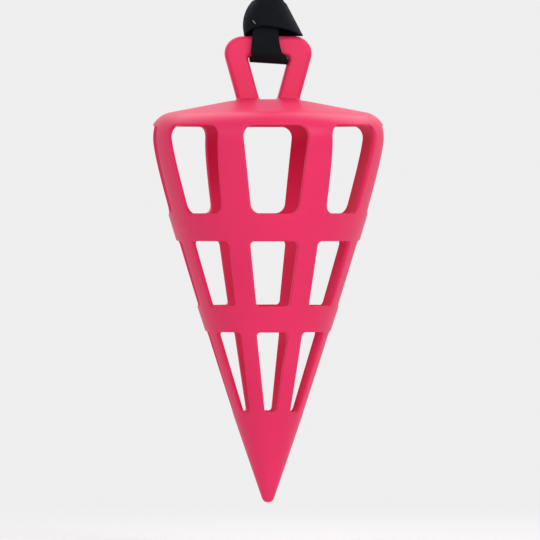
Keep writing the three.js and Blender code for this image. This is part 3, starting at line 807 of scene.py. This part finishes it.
def handleFoot(s, ring):
    # rings that flare out from the handle's end to the dome, and one sunk into it
    flare = []
    for k in range(s["filletSteps"] + 1):
        angle = pi / 2 * k / s["filletSteps"]
        out, rise = s["fillet"] * (1 - cos(angle)), s["fillet"] * (1 - sin(angle))
        row = []
        for point, normal in ring:
            shift = copysign(handleLean, point.x) * (point.z - crownHeight(point) - rise)
            foot = point - Vector((shift, 0, 0)) + Vector((normal.x, normal.y, 0)).normalized() * out
            row.append(Vector((foot.x, foot.y, crownHeight(foot) + rise - s["filletLap"])))
        flare.append(row)
    return flare + [[point - Vector((0, 0, s["sunkDepth"])) for point in flare[-1]]]


def buildHandle(s):
    rings = [handleRing(s, inner, outer) for inner, outer in handleStations(s)]
    loops = handleFoot(s, rings[0])[::-1] + [[point for point, _ in ring] for ring in rings]
    loops += handleFoot(s, rings[-1])
    verts = [point + Vector((0, 0, tipHeight)) for loop in loops for point in loop]
    return addPiece(
        "handleLoop", (verts, bridgeRings(len(loops), len(loops[0]))), "feeder", ["feeder_shell"],
        pinkPlastic, s["mergeDistance"],
    )


handleLoop = buildHandle(handleSettings)
print("handle ready", len(handleLoop.data.vertices))


# the webbing strap: a sewn eye hitched round the bar, drawn through itself and folded over the swivel

strapSettings = {
    "width": 0.047,
    "thickness": 0.0022,
    "layerGap": 0.0006,
    "barDepth": 0.026,
    "barHeight": 0.0258,
    "barEdge": 0.0055,
    "barTop": 0.6012,
    "rise": 0.142,
    "tailLength": 0.058,
    "neckLength": 0.013,
    "foldLean": 18.0,
    "eyeWire": 0.0035,
    "eyePlay": 0.0004,
    "eyeReach": 0.031,
    "eyeRise": 0.037,
    "underSlack": 0.003,
    "seatDrop": 0.0004,
    "rollFlatHalf": 0.0125,
    "rollRadius": 0.0031,
    "cupRadius": 0.038,
    "leastCup": 0.001,
    "step": 0.002,
    "acrossSteps": 34,
    "hemSteps": 5,
    "edgeStops": 3,
    "neckStops": 3,
    "foldStops": 8,
}

# side, back and up as shares of the reaches, the direction across the webbing, then the rolls of
# its two edges and its cup; what a row leaves off is zero
strapRoute = {
    "firstLeg": [
        (0.03, 1, -0.1, -0.99, 0, 0.12),
        (0.11, 1, 0.12, -0.96, 0, 0.28),
        (0.3, 0.98, 0.33, -0.86, 0, 0.5),
        (0.58, 0.96, 0.465, -0.7, 0.04, 0.72),
        (0.91, 0.5, 0.555, -0.5, 0.14, 0.85),
        (1.08, -0.2, 0.565, -0.46, 0.1, 0.88),
    ],
    "bight": [
        (0.94, -0.53, 0.63, -0.42, 0.14, 0.9),
        (0.64, -0.79, 0.79, -0.27, 0.2, 0.94),
        (0.19, -0.94, 0.93, -0.08, 0.2, 0.98),
        (-0.26, -0.95, 0.98, 0.05, 0.2, 0.98, 0, 0, 0.15),
        (-0.59, -0.8, 0.89, 0.18, 0.22, 0.96, 0, 0, 0.5),
        (-0.86, -0.48, 0.75, 0.26, 0.15, 0.95, 0, 0, 0.8),
        (-0.98, -0.06, 0.66, 0.22, 0.03, 0.97, 0, 0, 0.85),
    ],
    "secondLeg": [
        (-0.69, 0.87, 0.62, 0.42, -0.02, 0.9, 0, 0, 0.4),
        (-0.43, 1.16, 0.42, 0.65, -0.02, 0.75, 0, 0, 0.1),
        (-0.18, 1.1, 0.16, 0.87, 0, 0.49),
        (-0.04, 1.04, -0.12, 0.98, 0, 0.2),
        (0, 1, -0.34, 1),
    ],
    "under": [
        (0, 1.02, -0.54, 1, 0, -0.01),
        (0, 0.97, -0.8, 1, 0, -0.04),
        (0, 0.66, -0.96, 1, 0, -0.06),
        (0, 0.23, -1.01, 1, 0, -0.06),
        (0, -0.34, -1.01, 1, 0, -0.06),
        (0.03, -0.76, -1, 1, 0, -0.1),
        (0.05, -0.99, -0.88, 1, 0, -0.1, 0.06, 0.3),
        (0.02, -1.1, -0.76, 1, 0, -0.06, 0.22, 0.62),
    ],
    "front": [
        (-0.03, -1, -0.26, 1, 0, -0.02, 0.42, 0.86),
        (-0.04, -1.01, -0.225, 1, 0, -0.02, 0.5, 0.92),
        (-0.06, -1.01, -0.19, 1, 0, -0.01, 0.58, 0.96),
        (-0.08, -1.01, -0.15, 1, 0, 0, 0.68, 1),
        (-0.1, -1.01, -0.1, 1, 0, 0, 0.78, 1),
        (-0.12, -1.01, -0.04, 1, 0, 0, 0.88, 1),
        (-0.13, -0.98, 0.07, 1, 0, 0, 0.97, 1),
        (-0.1, -0.84, 0.21, 1, 0, -0.06, 1, 1),
        (0.02, -0.58, 0.4, 1, 0, -0.14, 1, 1),
        (0.1, -0.36, 0.59, 1, 0, -0.06, 1, 1),
        (0.1, -0.26, 0.68, 1, 0, 0, 0.86, 0.86),
        (0.08, -0.17, 0.76, 1, 0, 0.04, 0.7, 0.7),
        (0.05, -0.1, 0.83, 1, 0, 0.05, 0.54, 0.54),
        (0.03, -0.04, 0.89, 1, 0, 0.03, 0.36, 0.36),
        (0.01, 0.02, 0.95, 1, 0, 0.01, 0.18, 0.18),
    ],
}


def strapStops(s, route):
    # rows of centre, across direction, rolls and cup, with the names of the stretches they begin
    pitch = s["layerGap"] + s["thickness"]
    inner = s["layerGap"] + s["thickness"] / 2
    halfDepth, barFoot, edge = s["barDepth"] / 2, -s["barHeight"], s["barEdge"]
    rear, outerReach = halfDepth + inner, halfDepth + inner + pitch
    front = rear + 2 * s["rollRadius"]
    underDrop = s["barHeight"] + inner + pitch + s["underSlack"]
    stops, marks = [], {}

    def stop(place, direction=(1,), side=1, back=1, rise=1):
        values = [place[0] * side, place[1] * back, place[2] * rise, *direction]
        stops.append(values + [0] * (9 - len(values)))

    # the sewn end under the bar, and round its rear lower edge
    stop((0, -halfDepth / 3, barFoot - inner - s["seatDrop"]), (-1,))
    for k in range(s["edgeStops"] + 1):
        angle = pi / 2 * k / s["edgeStops"]
        drop = (edge + inner + s["seatDrop"]) * cos(angle)
        stop((0, halfDepth - edge + (edge + inner) * sin(angle), barFoot + edge - drop), (-1,))
    stop((0, rear, barFoot / 2), (-1,))
    eyeReach, eyeRise = s["eyeReach"], s["eyeRise"]
    reaches = {
        "firstLeg": (eyeReach, rear, eyeRise),
        "bight": (eyeReach, front + 2 * pitch, eyeRise),
        "secondLeg": (eyeReach, outerReach, eyeRise),
        "under": (eyeReach, outerReach, underDrop),
        "front": (eyeReach, front, s["rise"] - s["tailLength"]),
    }
    for name, rows in route.items():
        marks[name] = len(stops)
        for row in rows:
            stop(row[:3], row[3:], *reaches[name])
    marks["sewnUp"] = len(stops)

    # the fold over the swivel eye's bar, and the tail sewn back down
    fold = s["eyeWire"] + s["eyePlay"] + s["thickness"] / 2
    lean = radians(s["foldLean"])
    top, side = s["rise"], pitch / 2
    low = top - fold * sin(lean) - s["neckLength"]

    def neck(sign, share):
        ease = share * share * (3 - 2 * share)
        y = side + (fold * cos(lean) - side) * ease
        stop((0, sign * y, low + s["neckLength"] * share))

    stop((0, side, top - s["tailLength"] + s["thickness"]))
    shares = [k / s["neckStops"] for k in range(s["neckStops"])]
    for share in shares:
        neck(1, share)
    for y, z in arcPoints((0, top), fold, -lean, pi + lean, s["foldStops"]):
        stop((0, y, z))
    for share in reversed(shares):
        neck(-1, share)
    stop((0, -side, top - s["tailLength"]))
    return np.array(stops, dtype=float), marks


def steadyCurve(places, values, wanted):
    # a smooth curve through the values that never overshoots them
    gaps = np.diff(places)[:, None]
    slopes = np.diff(values, axis=0) / gaps
    before, after = slopes[:-1], slopes[1:]
    beforeWeight, afterWeight = 2 * gaps[1:] + gaps[:-1], gaps[1:] + 2 * gaps[:-1]
    same = before * after > 0
    safeBefore, safeAfter = np.where(same, before, 1.0), np.where(same, after, 1.0)
    blended = (beforeWeight + afterWeight) / (beforeWeight / safeBefore + afterWeight / safeAfter)
    tangents = np.concatenate([slopes[:1], np.where(same, blended, 0.0), slopes[-1:]])
    spans = np.clip(np.searchsorted(places, wanted, side="right") - 1, 0, len(gaps) - 1)
    gap = gaps[spans]
    t = (wanted - places[spans])[:, None] / gap
    return (
        (2 * t**3 - 3 * t**2 + 1) * values[spans]
        + (t**3 - 2 * t**2 + t) * gap * tangents[spans]
        + (-2 * t**3 + 3 * t**2) * values[spans + 1]
        + (t**3 - t**2) * gap * tangents[spans + 1]
    )


def unitRows(rows):
    return rows / np.linalg.norm(rows, axis=1)[:, None]


def strapStations(s, route):
    stops, marks = strapStops(s, route)
    lengths = np.concatenate([[0], np.cumsum(np.linalg.norm(np.diff(stops[:, :3], axis=0), axis=1))])
    wanted = np.linspace(0, lengths[-1], int(lengths[-1] / s["step"]) + 1)
    rows = steadyCurve(lengths, stops, wanted)
    along, across = unitRows(np.gradient(rows[:, :3], wanted, axis=0)), unitRows(rows[:, 3:6])
    return {
        "length": wanted,
        "centre": rows[:, :3] + (0, 0, tipHeight + s["barTop"]),
        "across": across,
        "face": unitRows(np.cross(along, across)),
        "rolls": np.clip(rows[:, 6:8], 0, 1),
        "cup": np.clip(rows[:, 8], 0, 1),
        "places": {name: lengths[index] for name, index in marks.items()},
    }


def webbingPoint(s, stations, index, sideways, shift):
    # a point of the webbing: sideways from its middle line, shift from its middle layer
    half, cup = s["width"] / 2, stations["cup"][index]
    if cup > s["leastCup"]:
        flatHalf, bend = 0, s["cupRadius"] / cup
    else:
        roll = stations["rolls"][index][0 if sideways < 0 else 1]
        flatHalf, bend = half + (s["rollFlatHalf"] - half) * roll, s["rollRadius"]
    flat = min(abs(sideways), flatHalf)
    turn = (abs(sideways) - flat) / bend
    reach = copysign(flat + sin(turn) * (bend - shift), sideways)
    depth = (1 - cos(turn)) * bend + cos(turn) * shift
    centre, across, face = (stations[name][index] for name in ("centre", "across", "face"))
    return Vector(centre + across * reach + face * depth)


def buildStrap(s, stations):
    half, thick, steps = s["width"] / 2, s["thickness"], s["acrossSteps"]
    straight = half - thick / 2
    section = [(-straight + 2 * straight * i / steps, -thick / 2) for i in range(steps + 1)]
    section += arcPoints((straight, 0), thick / 2, -pi / 2, pi / 2, s["hemSteps"])[1:-1]
    section += [(-sideways, -shift) for sideways, shift in section]
    verts, places = [], []
    for index, length in enumerate(stations["length"]):
        verts += [webbingPoint(s, stations, index, *spot) for spot in section]
        places += [(sideways + half, length) for sideways, _ in section]
    part = verts, bridgeRings(len(stations["length"]), len(section), capEnds=True)
    strap = addPiece("strapWebbing", part, "feeder", ["hanging_strap"], blackWebbing, 0)
    layer = strap.data.uv_layers.new(name="webbingPlace")
    for loop, spot in zip(strap.data.loops, layer.data):
        spot.uv = places[loop.vertex_index]


strapLine = strapStations(strapSettings, strapRoute)
buildStrap(strapSettings, strapLine)
print("strap ready, metres of webbing:", round(float(strapLine["length"][-1]), 3))


# sewing on the sewn stretches: a box with a cross through it, in thick black thread

stitchSettings = {
    "thread": 0.00036,
    "sides": 6,
    "pitch": 0.0031,
    "gap": 0.0006,
    "rise": 0.00030,
    "lifts": ((0, -0.6), (0.12, 0.35), (0.5, 1.0), (0.88, 0.35), (1, -0.6)),
    "boxHalfWidth": 0.0185,
    "boxLines": ((0, 1), (1, 2), (2, 3), (3, 0), (0, 2), (1, 3)),
    "topBox": (0.006, 0.033),
    "hitchBox": (-0.0095, 0.0075),
}


def stitchRun(s, strap, stations, start, end, side):
    # stitches from start to end, each given as length along and place across
    lengths, start, end = stations["length"], np.array(start), np.array(end)
    span = np.linalg.norm(end - start)
    count = max(1, int(round(span / s["pitch"])))
    direction = (end - start) / span
    parts = []
    for k in range(count):
        first = start + direction * (span * k / count + s["gap"] / 2)
        last = start + direction * (span * (k + 1) / count - s["gap"] / 2)
        points = []
        for share, lift in s["lifts"]:
            along, across = first + (last - first) * share
            index = int(np.clip(np.searchsorted(lengths, along), 1, len(lengths) - 1))
            blend = (along - lengths[index - 1]) / (lengths[index] - lengths[index - 1])
            shift = side * (strap["thickness"] / 2 + s["rise"] * lift)
            ends = [webbingPoint(strap, stations, i, across, shift) for i in (index - 1, index)]
            points.append(ends[0].lerp(ends[1], blend))
        parts.append(sweptTube(points, s["thread"], s["sides"]))
    return parts


def buildStitching(s, strap, stations):
    (near, far), (first, last), width = s["topBox"], s["hitchBox"], s["boxHalfWidth"]
    end, places = stations["length"][-1], stations["places"]
    parts = []
    for low, high, side in (
        (end - far, end - near, 1),
        (places["sewnUp"] + near, places["sewnUp"] + far, 1),
        (places["under"] + first, places["under"] + last, -1),
    ):
        corners = [(low, -width), (low, width), (high, width), (high, -width)]
        for i, j in s["boxLines"]:
            parts += stitchRun(s, strap, stations, corners[i], corners[j], side)
    addPiece("strapSewing", joinParts(*parts), "feeder", [], blackThread)


buildStitching(stitchSettings, strapSettings, strapLine)

looseEndSettings = {
    "points": [
        (-0.0215, -0.0268, 0.0196),
        (-0.0209, -0.0290, 0.0192),
        (-0.0201, -0.0297, 0.0178),
        (-0.0190, -0.0300, 0.0166),
        (-0.0184, -0.0297, 0.0157),
    ],
    "thread": 0.0004,
    "sides": 8,
}


def buildLooseEnd(s):
    base = Vector((0, 0, tipHeight + strapSettings["barTop"]))
    tube = sweptTube([Vector(p) + base for p in s["points"]], s["thread"], s["sides"])
    addPiece("looseThread", tube, "feeder", [], looseThreadMaterial)


buildLooseEnd(looseEndSettings)
print("sewing ready")


# the swivel eye and snap hook above the picture, cast and plated

hookSettings = {
    "eyeBar": 0.7432,
    "eyeTop": 0.7632,
    "hookBottom": 0.7671,
    "bearing": 0.8231,
    "wire": 0.0035,
    "wireSides": 20,
    "wireStep": 0.003,
    "eyeHalfWidth": 0.0286,
    "eyeCorner": 0.006,
    "bossRadius": 0.0065,
    "bossLap": 0.002,
    "bossBevel": 0.0006,
    "postRadius": 0.004,
    "postHeadRadius": 0.0054,
    "postHeadHeight": 0.003,
    "headBevel": 0.0005,
    "headLip": 0.0004,
    "gap": 0.0004,
    "bowRadius": 0.011,
    "stock": 0.009,
    "thickness": 0.013,
    "edge": 0.0016,
    "corner": 0.0015,
    "baseHeight": 0.012,
    "collarRadius": 0.0096,
    "collarRim": 0.0009,
    "spineFootRise": 0.016,
    "noseLength": 0.008,
    "earRadius": 0.006,
    "slotDepth": 0.007,
    "slotHeadroom": 0.003,
    "gateSwingRoom": 0.0027,
    "gateThickness": 0.0075,
    "gateEdge": 0.0008,
    "gateCorner": 0.001,
    "gateHubRadius": 0.0043,
    "gateTipWidth": 0.0042,
    "gateShoulderWidth": 0.006,
    "gateTipLap": 0.0034,
    "gateForkWidth": 0.0044,
    "gateForkRise": 0.011,
    "pinRadius": 0.0018,
    "pinHeadRadius": 0.0031,
    "pinHeadHeight": 0.0013,
    "fitGap": 0.0003,
    "clearOfAll": 0.05,
    "mitreLimit": 0.55,
    "sharpCast": 32,
    "sharpTurned": 40,
    "steps": {
        "eyeCorner": 10, "post": 48, "ear": 16, "bow": 32, "back": 40, "collar": 64, "edge": 4,
        "gateCorner": 6, "hub": 20, "gateEdge": 3, "pin": 32,
    },
}
hookSteps = hookSettings["steps"]


def hookPlaces(s):
    seat = s["hookBottom"] + s["baseHeight"]
    bowCentre = s["bearing"] - s["bowRadius"]
    return {
        "bowCentre": bowCentre,
        "seat": seat,
        "outer": s["bowRadius"] + s["stock"],
        "pivotX": s["bowRadius"] + s["stock"] / 2 - 1.2 * s["gap"],
        "pivotHeight": seat - 3 * s["fitGap"],
        "noseEnd": bowCentre - s["noseLength"],
    }


hookPlace = hookPlaces(hookSettings)
pivot = Vector((hookPlace["pivotX"], 0, hookPlace["pivotHeight"] + tipHeight))


def plateMesh(outline, depth, edge, edgeSteps):
    # an outline in the XZ plane made solid along Y, its rims rounded inwards
    outline = [Vector(point) for point in outline]
    if sum(a.cross(b) for a, b in zip(outline, outline[1:] + outline[:1])) < 0:
        outline = outline[::-1]
    ahead = [(b - a).normalized() for a, b in zip(outline, outline[1:] + outline[:1])]
    normals = [Vector((along.y, -along.x)) for along in ahead]
    mitres = []
    for before, after in zip(normals[-1:] + normals, normals):
        normal = (before + after).normalized()
        mitres.append(normal / max(normal.dot(before), hookSettings["mitreLimit"]))
    rings = []
    for k in range(edgeSteps + 1):
        angle = pi / 2 * k / edgeSteps
        rings.append((edge * (1 - sin(angle)), -depth / 2 + edge * (1 - cos(angle))))
    rings += [(inset, -y) for inset, y in rings[::-1]]
    verts = []
    for inset, y in rings:
        for point, mitre in zip(outline, mitres):
            p = point - mitre * inset
            verts.append(Vector((p.x, y, p.y + tipHeight)))
    return verts, bridgeRings(len(rings), len(outline), capEnds=True)


def cutWithBox(part, low, high):
    # takes a box out of a closed part
    corners = list(itertools.product(*zip(low, high)))
    sides = [(0, 1, 3, 2), (4, 6, 7, 5), (0, 4, 5, 1), (2, 3, 7, 6), (0, 2, 6, 4), (1, 5, 7, 3)]
    blank = bpy.data.objects.new("cutBlank", makeMesh("cutBlank", part))
    tool = bpy.data.objects.new("cutTool", makeMesh("cutTool", (corners, sides)))
    for thing in (blank, tool):
        scene.collection.objects.link(thing)
    cut = blank.modifiers.new("cut", "BOOLEAN")
    cut.operation = "DIFFERENCE"
    cut.object = tool
    result = blank.evaluated_get(bpy.context.evaluated_depsgraph_get()).to_mesh()
    verts = [v.co.copy() for v in result.vertices]
    faces = [tuple(polygon.vertices) for polygon in result.polygons]
    for thing in (blank, tool):
        bpy.data.meshes.remove(thing.data)
    return verts, faces


def addCast(name, part, body, node, sharpAngle):
    addPiece(name, part, body, [node], platedZinc, sharpAngle=sharpAngle)


def buildSwivelEye(s):
    halfWidth, low, high = s["eyeHalfWidth"], s["eyeBar"], s["eyeTop"]
    corners = [(-halfWidth, low), (halfWidth, low), (halfWidth, high), (-halfWidth, high)]
    line = roundedLoop(corners, [s["eyeCorner"]] * 4, hookSteps["eyeCorner"])
    points = []
    for point, ahead in zip(line, line[1:] + line[:1]):
        steps = max(1, int((ahead - point).length / s["wireStep"]))
        points += [point.lerp(ahead, k / steps) for k in range(steps)]
    points = [Vector((p.x, 0, p.y + tipHeight)) for p in points]
    wire = sweptTube(points, s["wire"], s["wireSides"], True)
    boss, post, head, bevel = s["bossRadius"], s["postRadius"], s["postHeadRadius"], s["bossBevel"]
    foot, top = s["eyeTop"] - s["wire"] * 0.2, s["hookBottom"] - s["gap"]
    seat, rise = hookPlace["seat"] + s["gap"], s["postHeadHeight"]
    stem = revolve([
        (0, foot - s["bossLap"]),
        (boss * 0.8, foot - s["bossLap"] / 2),
        (boss, foot + bevel),
        (boss, top - bevel),
        (boss - s["headBevel"], top),
        (post, top),
        (post, seat),
        (head - s["headLip"], seat),
        (head, seat + s["headBevel"]),
        (head, seat + rise * 0.45),
        (head * 0.8, seat + rise * 0.85),
        (head * 0.45, seat + rise),
        (0, seat + rise),
    ], fullTurn(hookSteps["post"]))
    addCast("swivelEye", joinParts(wire, stem), "swivel", "swivel_eye", s["sharpTurned"])


def buildSnapBody(s):
    seat, noseEnd, outer, pivotX = (hookPlace[name] for name in ("seat", "noseEnd", "outer", "pivotX"))
    bow, centre, corner, ear = s["bowRadius"], (0, hookPlace["bowCentre"]), s["corner"], s["earRadius"]
    r, rim = s["collarRadius"], s["collarRim"]
    plate = plateMesh([
        (r, s["hookBottom"]),
        *arcPoints((pivotX, hookPlace["pivotHeight"]), ear, -pi / 3, pi * 0.75, hookSteps["ear"]),
        (pivotX - ear, seat),
        (-bow + corner, seat),
        (-bow, seat + corner),
        *arcPoints(centre, bow, pi, 0, hookSteps["bow"]),
        (bow, noseEnd + corner),
        (bow + corner, noseEnd),
        (outer - corner, noseEnd),
        (outer, noseEnd + corner),
        *arcPoints(centre, outer, 0, pi, hookSteps["back"]),
        (-outer, s["hookBottom"] + s["spineFootRise"]),
        (-r, s["hookBottom"]),
    ], s["thickness"], s["edge"], hookSteps["edge"])
    half = [(0, 0), (r - rim, 0), (r - rim * 0.3, rim * 0.3), (r, rim)]
    profile = [(radius, s["hookBottom"] + height) for radius, height in half]
    profile += [(radius, seat - height) for radius, height in half[::-1]]
    collar = revolve(profile, fullTurn(hookSteps["collar"]))
    slotX = pivotX - s["gateHubRadius"] - s["gateSwingRoom"]
    slotHalf = s["gateThickness"] / 2 + s["fitGap"]
    low = (slotX, -slotHalf, seat - s["slotDepth"] + tipHeight)
    high = (s["clearOfAll"], slotHalf, seat + ear + s["slotHeadroom"] + tipHeight)
    body = joinParts(cutWithBox(plate, low, high), cutWithBox(collar, low, high))
    addCast("snapHookBody", body, "hook", "snap_body", s["sharpCast"])


def buildSnapGate(s):
    pivotX, pivotHeight, noseEnd = (hookPlace[name] for name in ("pivotX", "pivotHeight", "noseEnd"))
    lapTop, shoulder = noseEnd + s["gateTipLap"], noseEnd - 2 * s["fitGap"]
    tip, hub, bend = s["bowRadius"] - s["fitGap"], s["gateHubRadius"], s["gateCorner"]
    outline = roundedLoop(
        [
            (pivotX + hub, pivotHeight),
            (pivotX + s["gateShoulderWidth"] / 2, shoulder),
            (tip, shoulder),
            (tip, lapTop),
            (tip - s["gateTipWidth"], lapTop),
            (pivotX - hub, pivotHeight),
        ],
        [0, bend, 0, bend, bend, 0], hookSteps["gateCorner"],
    )
    outline += arcPoints((pivotX, pivotHeight), hub, pi, 2 * pi, hookSteps["hub"])[1:-1]
    plate = plateMesh(outline, s["gateThickness"], s["gateEdge"], hookSteps["gateEdge"])
    away, fork = s["clearOfAll"], s["gateForkWidth"] / 2
    low, high = (-away, -fork, pivot.z - away), (away, fork, pivot.z + s["gateForkRise"])
    addCast("snapGate", cutWithBox(plate, low, high), "gate", "snap_gate", s["sharpCast"])


def buildGatePin(s):
    half, head, rise = s["thickness"] / 2 + s["fitGap"], s["pinHeadRadius"], s["pinHeadHeight"]
    side = [
        (0, half + rise),
        (head * 0.45, half + rise * 0.9),
        (head * 0.78, half + rise * 0.6),
        (head, half + rise * 0.2),
        (head, half),
        (s["pinRadius"], half),
    ]
    profile = [(radius, -y) for radius, y in side] + side[::-1]
    verts, faces = revolve(profile, fullTurn(hookSteps["pin"]), 0)
    verts = [Vector((x, z, y)) + pivot for x, y, z in verts]
    addCast("gatePin", (verts, faces), "hook", "gate_pin", s["sharpTurned"])


springSettings = {
    "wire": 0.0004,
    "sides": 8,
    "coil": 0.00285,
    "pitch": 0.00135,
    "turns": 2,
    "turnSteps": 32,
    "leg": 0.007,
    "legSteps": 9,
    "footSteps": 4,
    "blendReach": 0.002,
}


def buildGateSpring(s):
    coil, half, steps = s["coil"], s["pitch"] * s["turns"] / 2, s["turnSteps"] * s["turns"]
    points = [(-coil, -half, s["leg"] * (1 - k / s["legSteps"])) for k in range(s["legSteps"])]
    for k in range(steps + 1):
        share = k / steps
        angle = pi + share * s["turns"] * 2 * pi
        points.append((coil * cos(angle), -half + 2 * half * share, coil * sin(angle)))
    points += [(-coil, half, -coil * k / s["footSteps"]) for k in range(1, s["footSteps"] + 1)]
    tube = sweptTube([pivot + Vector(point) for point in points], s["wire"], s["sides"])
    spring = addPiece("gateSpring", tube, None, ["gate_spring"], springWire)
    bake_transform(spring)


buildSwivelEye(hookSettings)
buildSnapBody(hookSettings)
buildSnapGate(hookSettings)
buildGatePin(hookSettings)
buildGateSpring(springSettings)
print("hook ready")


# floor, world and lamps

studioSettings = {
    "floorDrop": 0.06,
    "floorRadius": 3.0,
    "floorCorners": 96,
    "floorRoughness": 0.7,
    "pale": (0.80, 0.80, 0.81),
    "darker": 0.985,
    "toneScale": 2.0,
    "white": (1, 1, 1, 1),
    "backdrop": 0.86,
    "fade": (0.35, 1.3),
    "worldStrength": 0.36,
    "aimHeight": 0.33,
    "lamps": [
        {"name": "rightSoftbox", "place": (1.6, -2.1, 0.75), "size": 1.3, "power": 27.5},
        {"name": "leftSoftbox", "place": (-1.7, -1.9, 0.55), "size": 1.3, "power": 10.4},
        {"name": "frontSoftbox", "place": (0.1, -2.8, 0.1), "size": 1.4, "power": 14.6},
        {"name": "rearLeftSoftbox", "place": (-0.75, 1.0, 1.45), "size": 1.7, "power": 25},
        {"name": "rearRightSoftbox", "place": (1.2, 0.95, 1.35), "size": 1.6, "power": 26},
    ],
}


def seenRays(tree):
    path = tree.nodes.new("ShaderNodeLightPath").outputs
    seen = mathNode(tree, "MAXIMUM", path["Is Camera Ray"], path["Is Glossy Ray"])
    return mathNode(tree, "MAXIMUM", seen, path["Is Transmission Ray"])


def glowNode(tree, kind, colour, strength):
    node = tree.nodes.new(kind)
    feed(tree, node.inputs["Color"], colour)
    feed(tree, node.inputs["Strength"], strength)
    return node.outputs[0]


def mixShaders(tree, share, first, second, output):
    node = tree.nodes.new("ShaderNodeMixShader")
    for socket, value in zip(node.inputs, (share, first, second)):
        feed(tree, socket, value)
    feed(tree, tree.nodes[output].inputs["Surface"], node.outputs[0])


def makeFloorMaterial(s):
    # pale ground that fades into the backdrop away from the feeder
    material, tree, shader = startMaterial("paleFloor", {"Roughness": s["floorRoughness"]})
    where = objectVector(tree)
    darker = tuple(c * s["darker"] for c in s["pale"])
    tone = noiseNode(tree, where, s["toneScale"], 3.0)
    feed(tree, shader["Base Color"], mixColours(tree, tone, darker, s["pale"]))
    length = tree.nodes.new("ShaderNodeVectorMath")
    length.operation = "LENGTH"
    feed(tree, length.inputs[0], where)
    far = rangeNode(tree, length.outputs["Value"], *s["fade"])
    glow = glowNode(tree, "ShaderNodeEmission", s["white"], s["backdrop"])
    share = mathNode(tree, "MULTIPLY", far, seenRays(tree))
    mixShaders(tree, share, tree.nodes["Principled BSDF"].outputs[0], glow, "Material Output")
    return material


def makeStudio(s):
    radius, turns = s["floorRadius"], fullTurn(s["floorCorners"])
    ring = [(radius * sin(turn), -radius * cos(turn), 0) for turn in turns]
    floor = bpy.data.objects.new("floor", makeMesh("floor", (ring, [tuple(range(len(ring)))])))
    floor.location = (0, 0, tipHeight - s["floorDrop"])
    floor.data.materials.append(makeFloorMaterial(s))
    scene.collection.objects.link(floor)
    world = bpy.data.worlds.new("studio")
    scene.world = world
    world.use_nodes = True
    tree = world.node_tree
    lit = tree.nodes["Background"]
    lit.inputs["Color"].default_value = s["white"]
    lit.inputs["Strength"].default_value = s["worldStrength"]
    seen = glowNode(tree, "ShaderNodeBackground", s["white"], s["backdrop"])
    mixShaders(tree, seenRays(tree), lit.outputs[0], seen, "World Output")
    target = Vector((0, 0, tipHeight + s["aimHeight"]))
    for lamp in s["lamps"]:
        data = bpy.data.lights.new(lamp["name"], "AREA")
        data.size = lamp["size"]
        data.energy = lamp["power"]
        light = bpy.data.objects.new(lamp["name"], data)
        light.location = lamp["place"]
        light.rotation_euler = (Vector(lamp["place"]) - target).to_track_quat("Z", "Y").to_euler()
        scene.collection.objects.link(light)


makeStudio(studioSettings)
scene.view_settings.view_transform = "Standard"
print("studio ready")
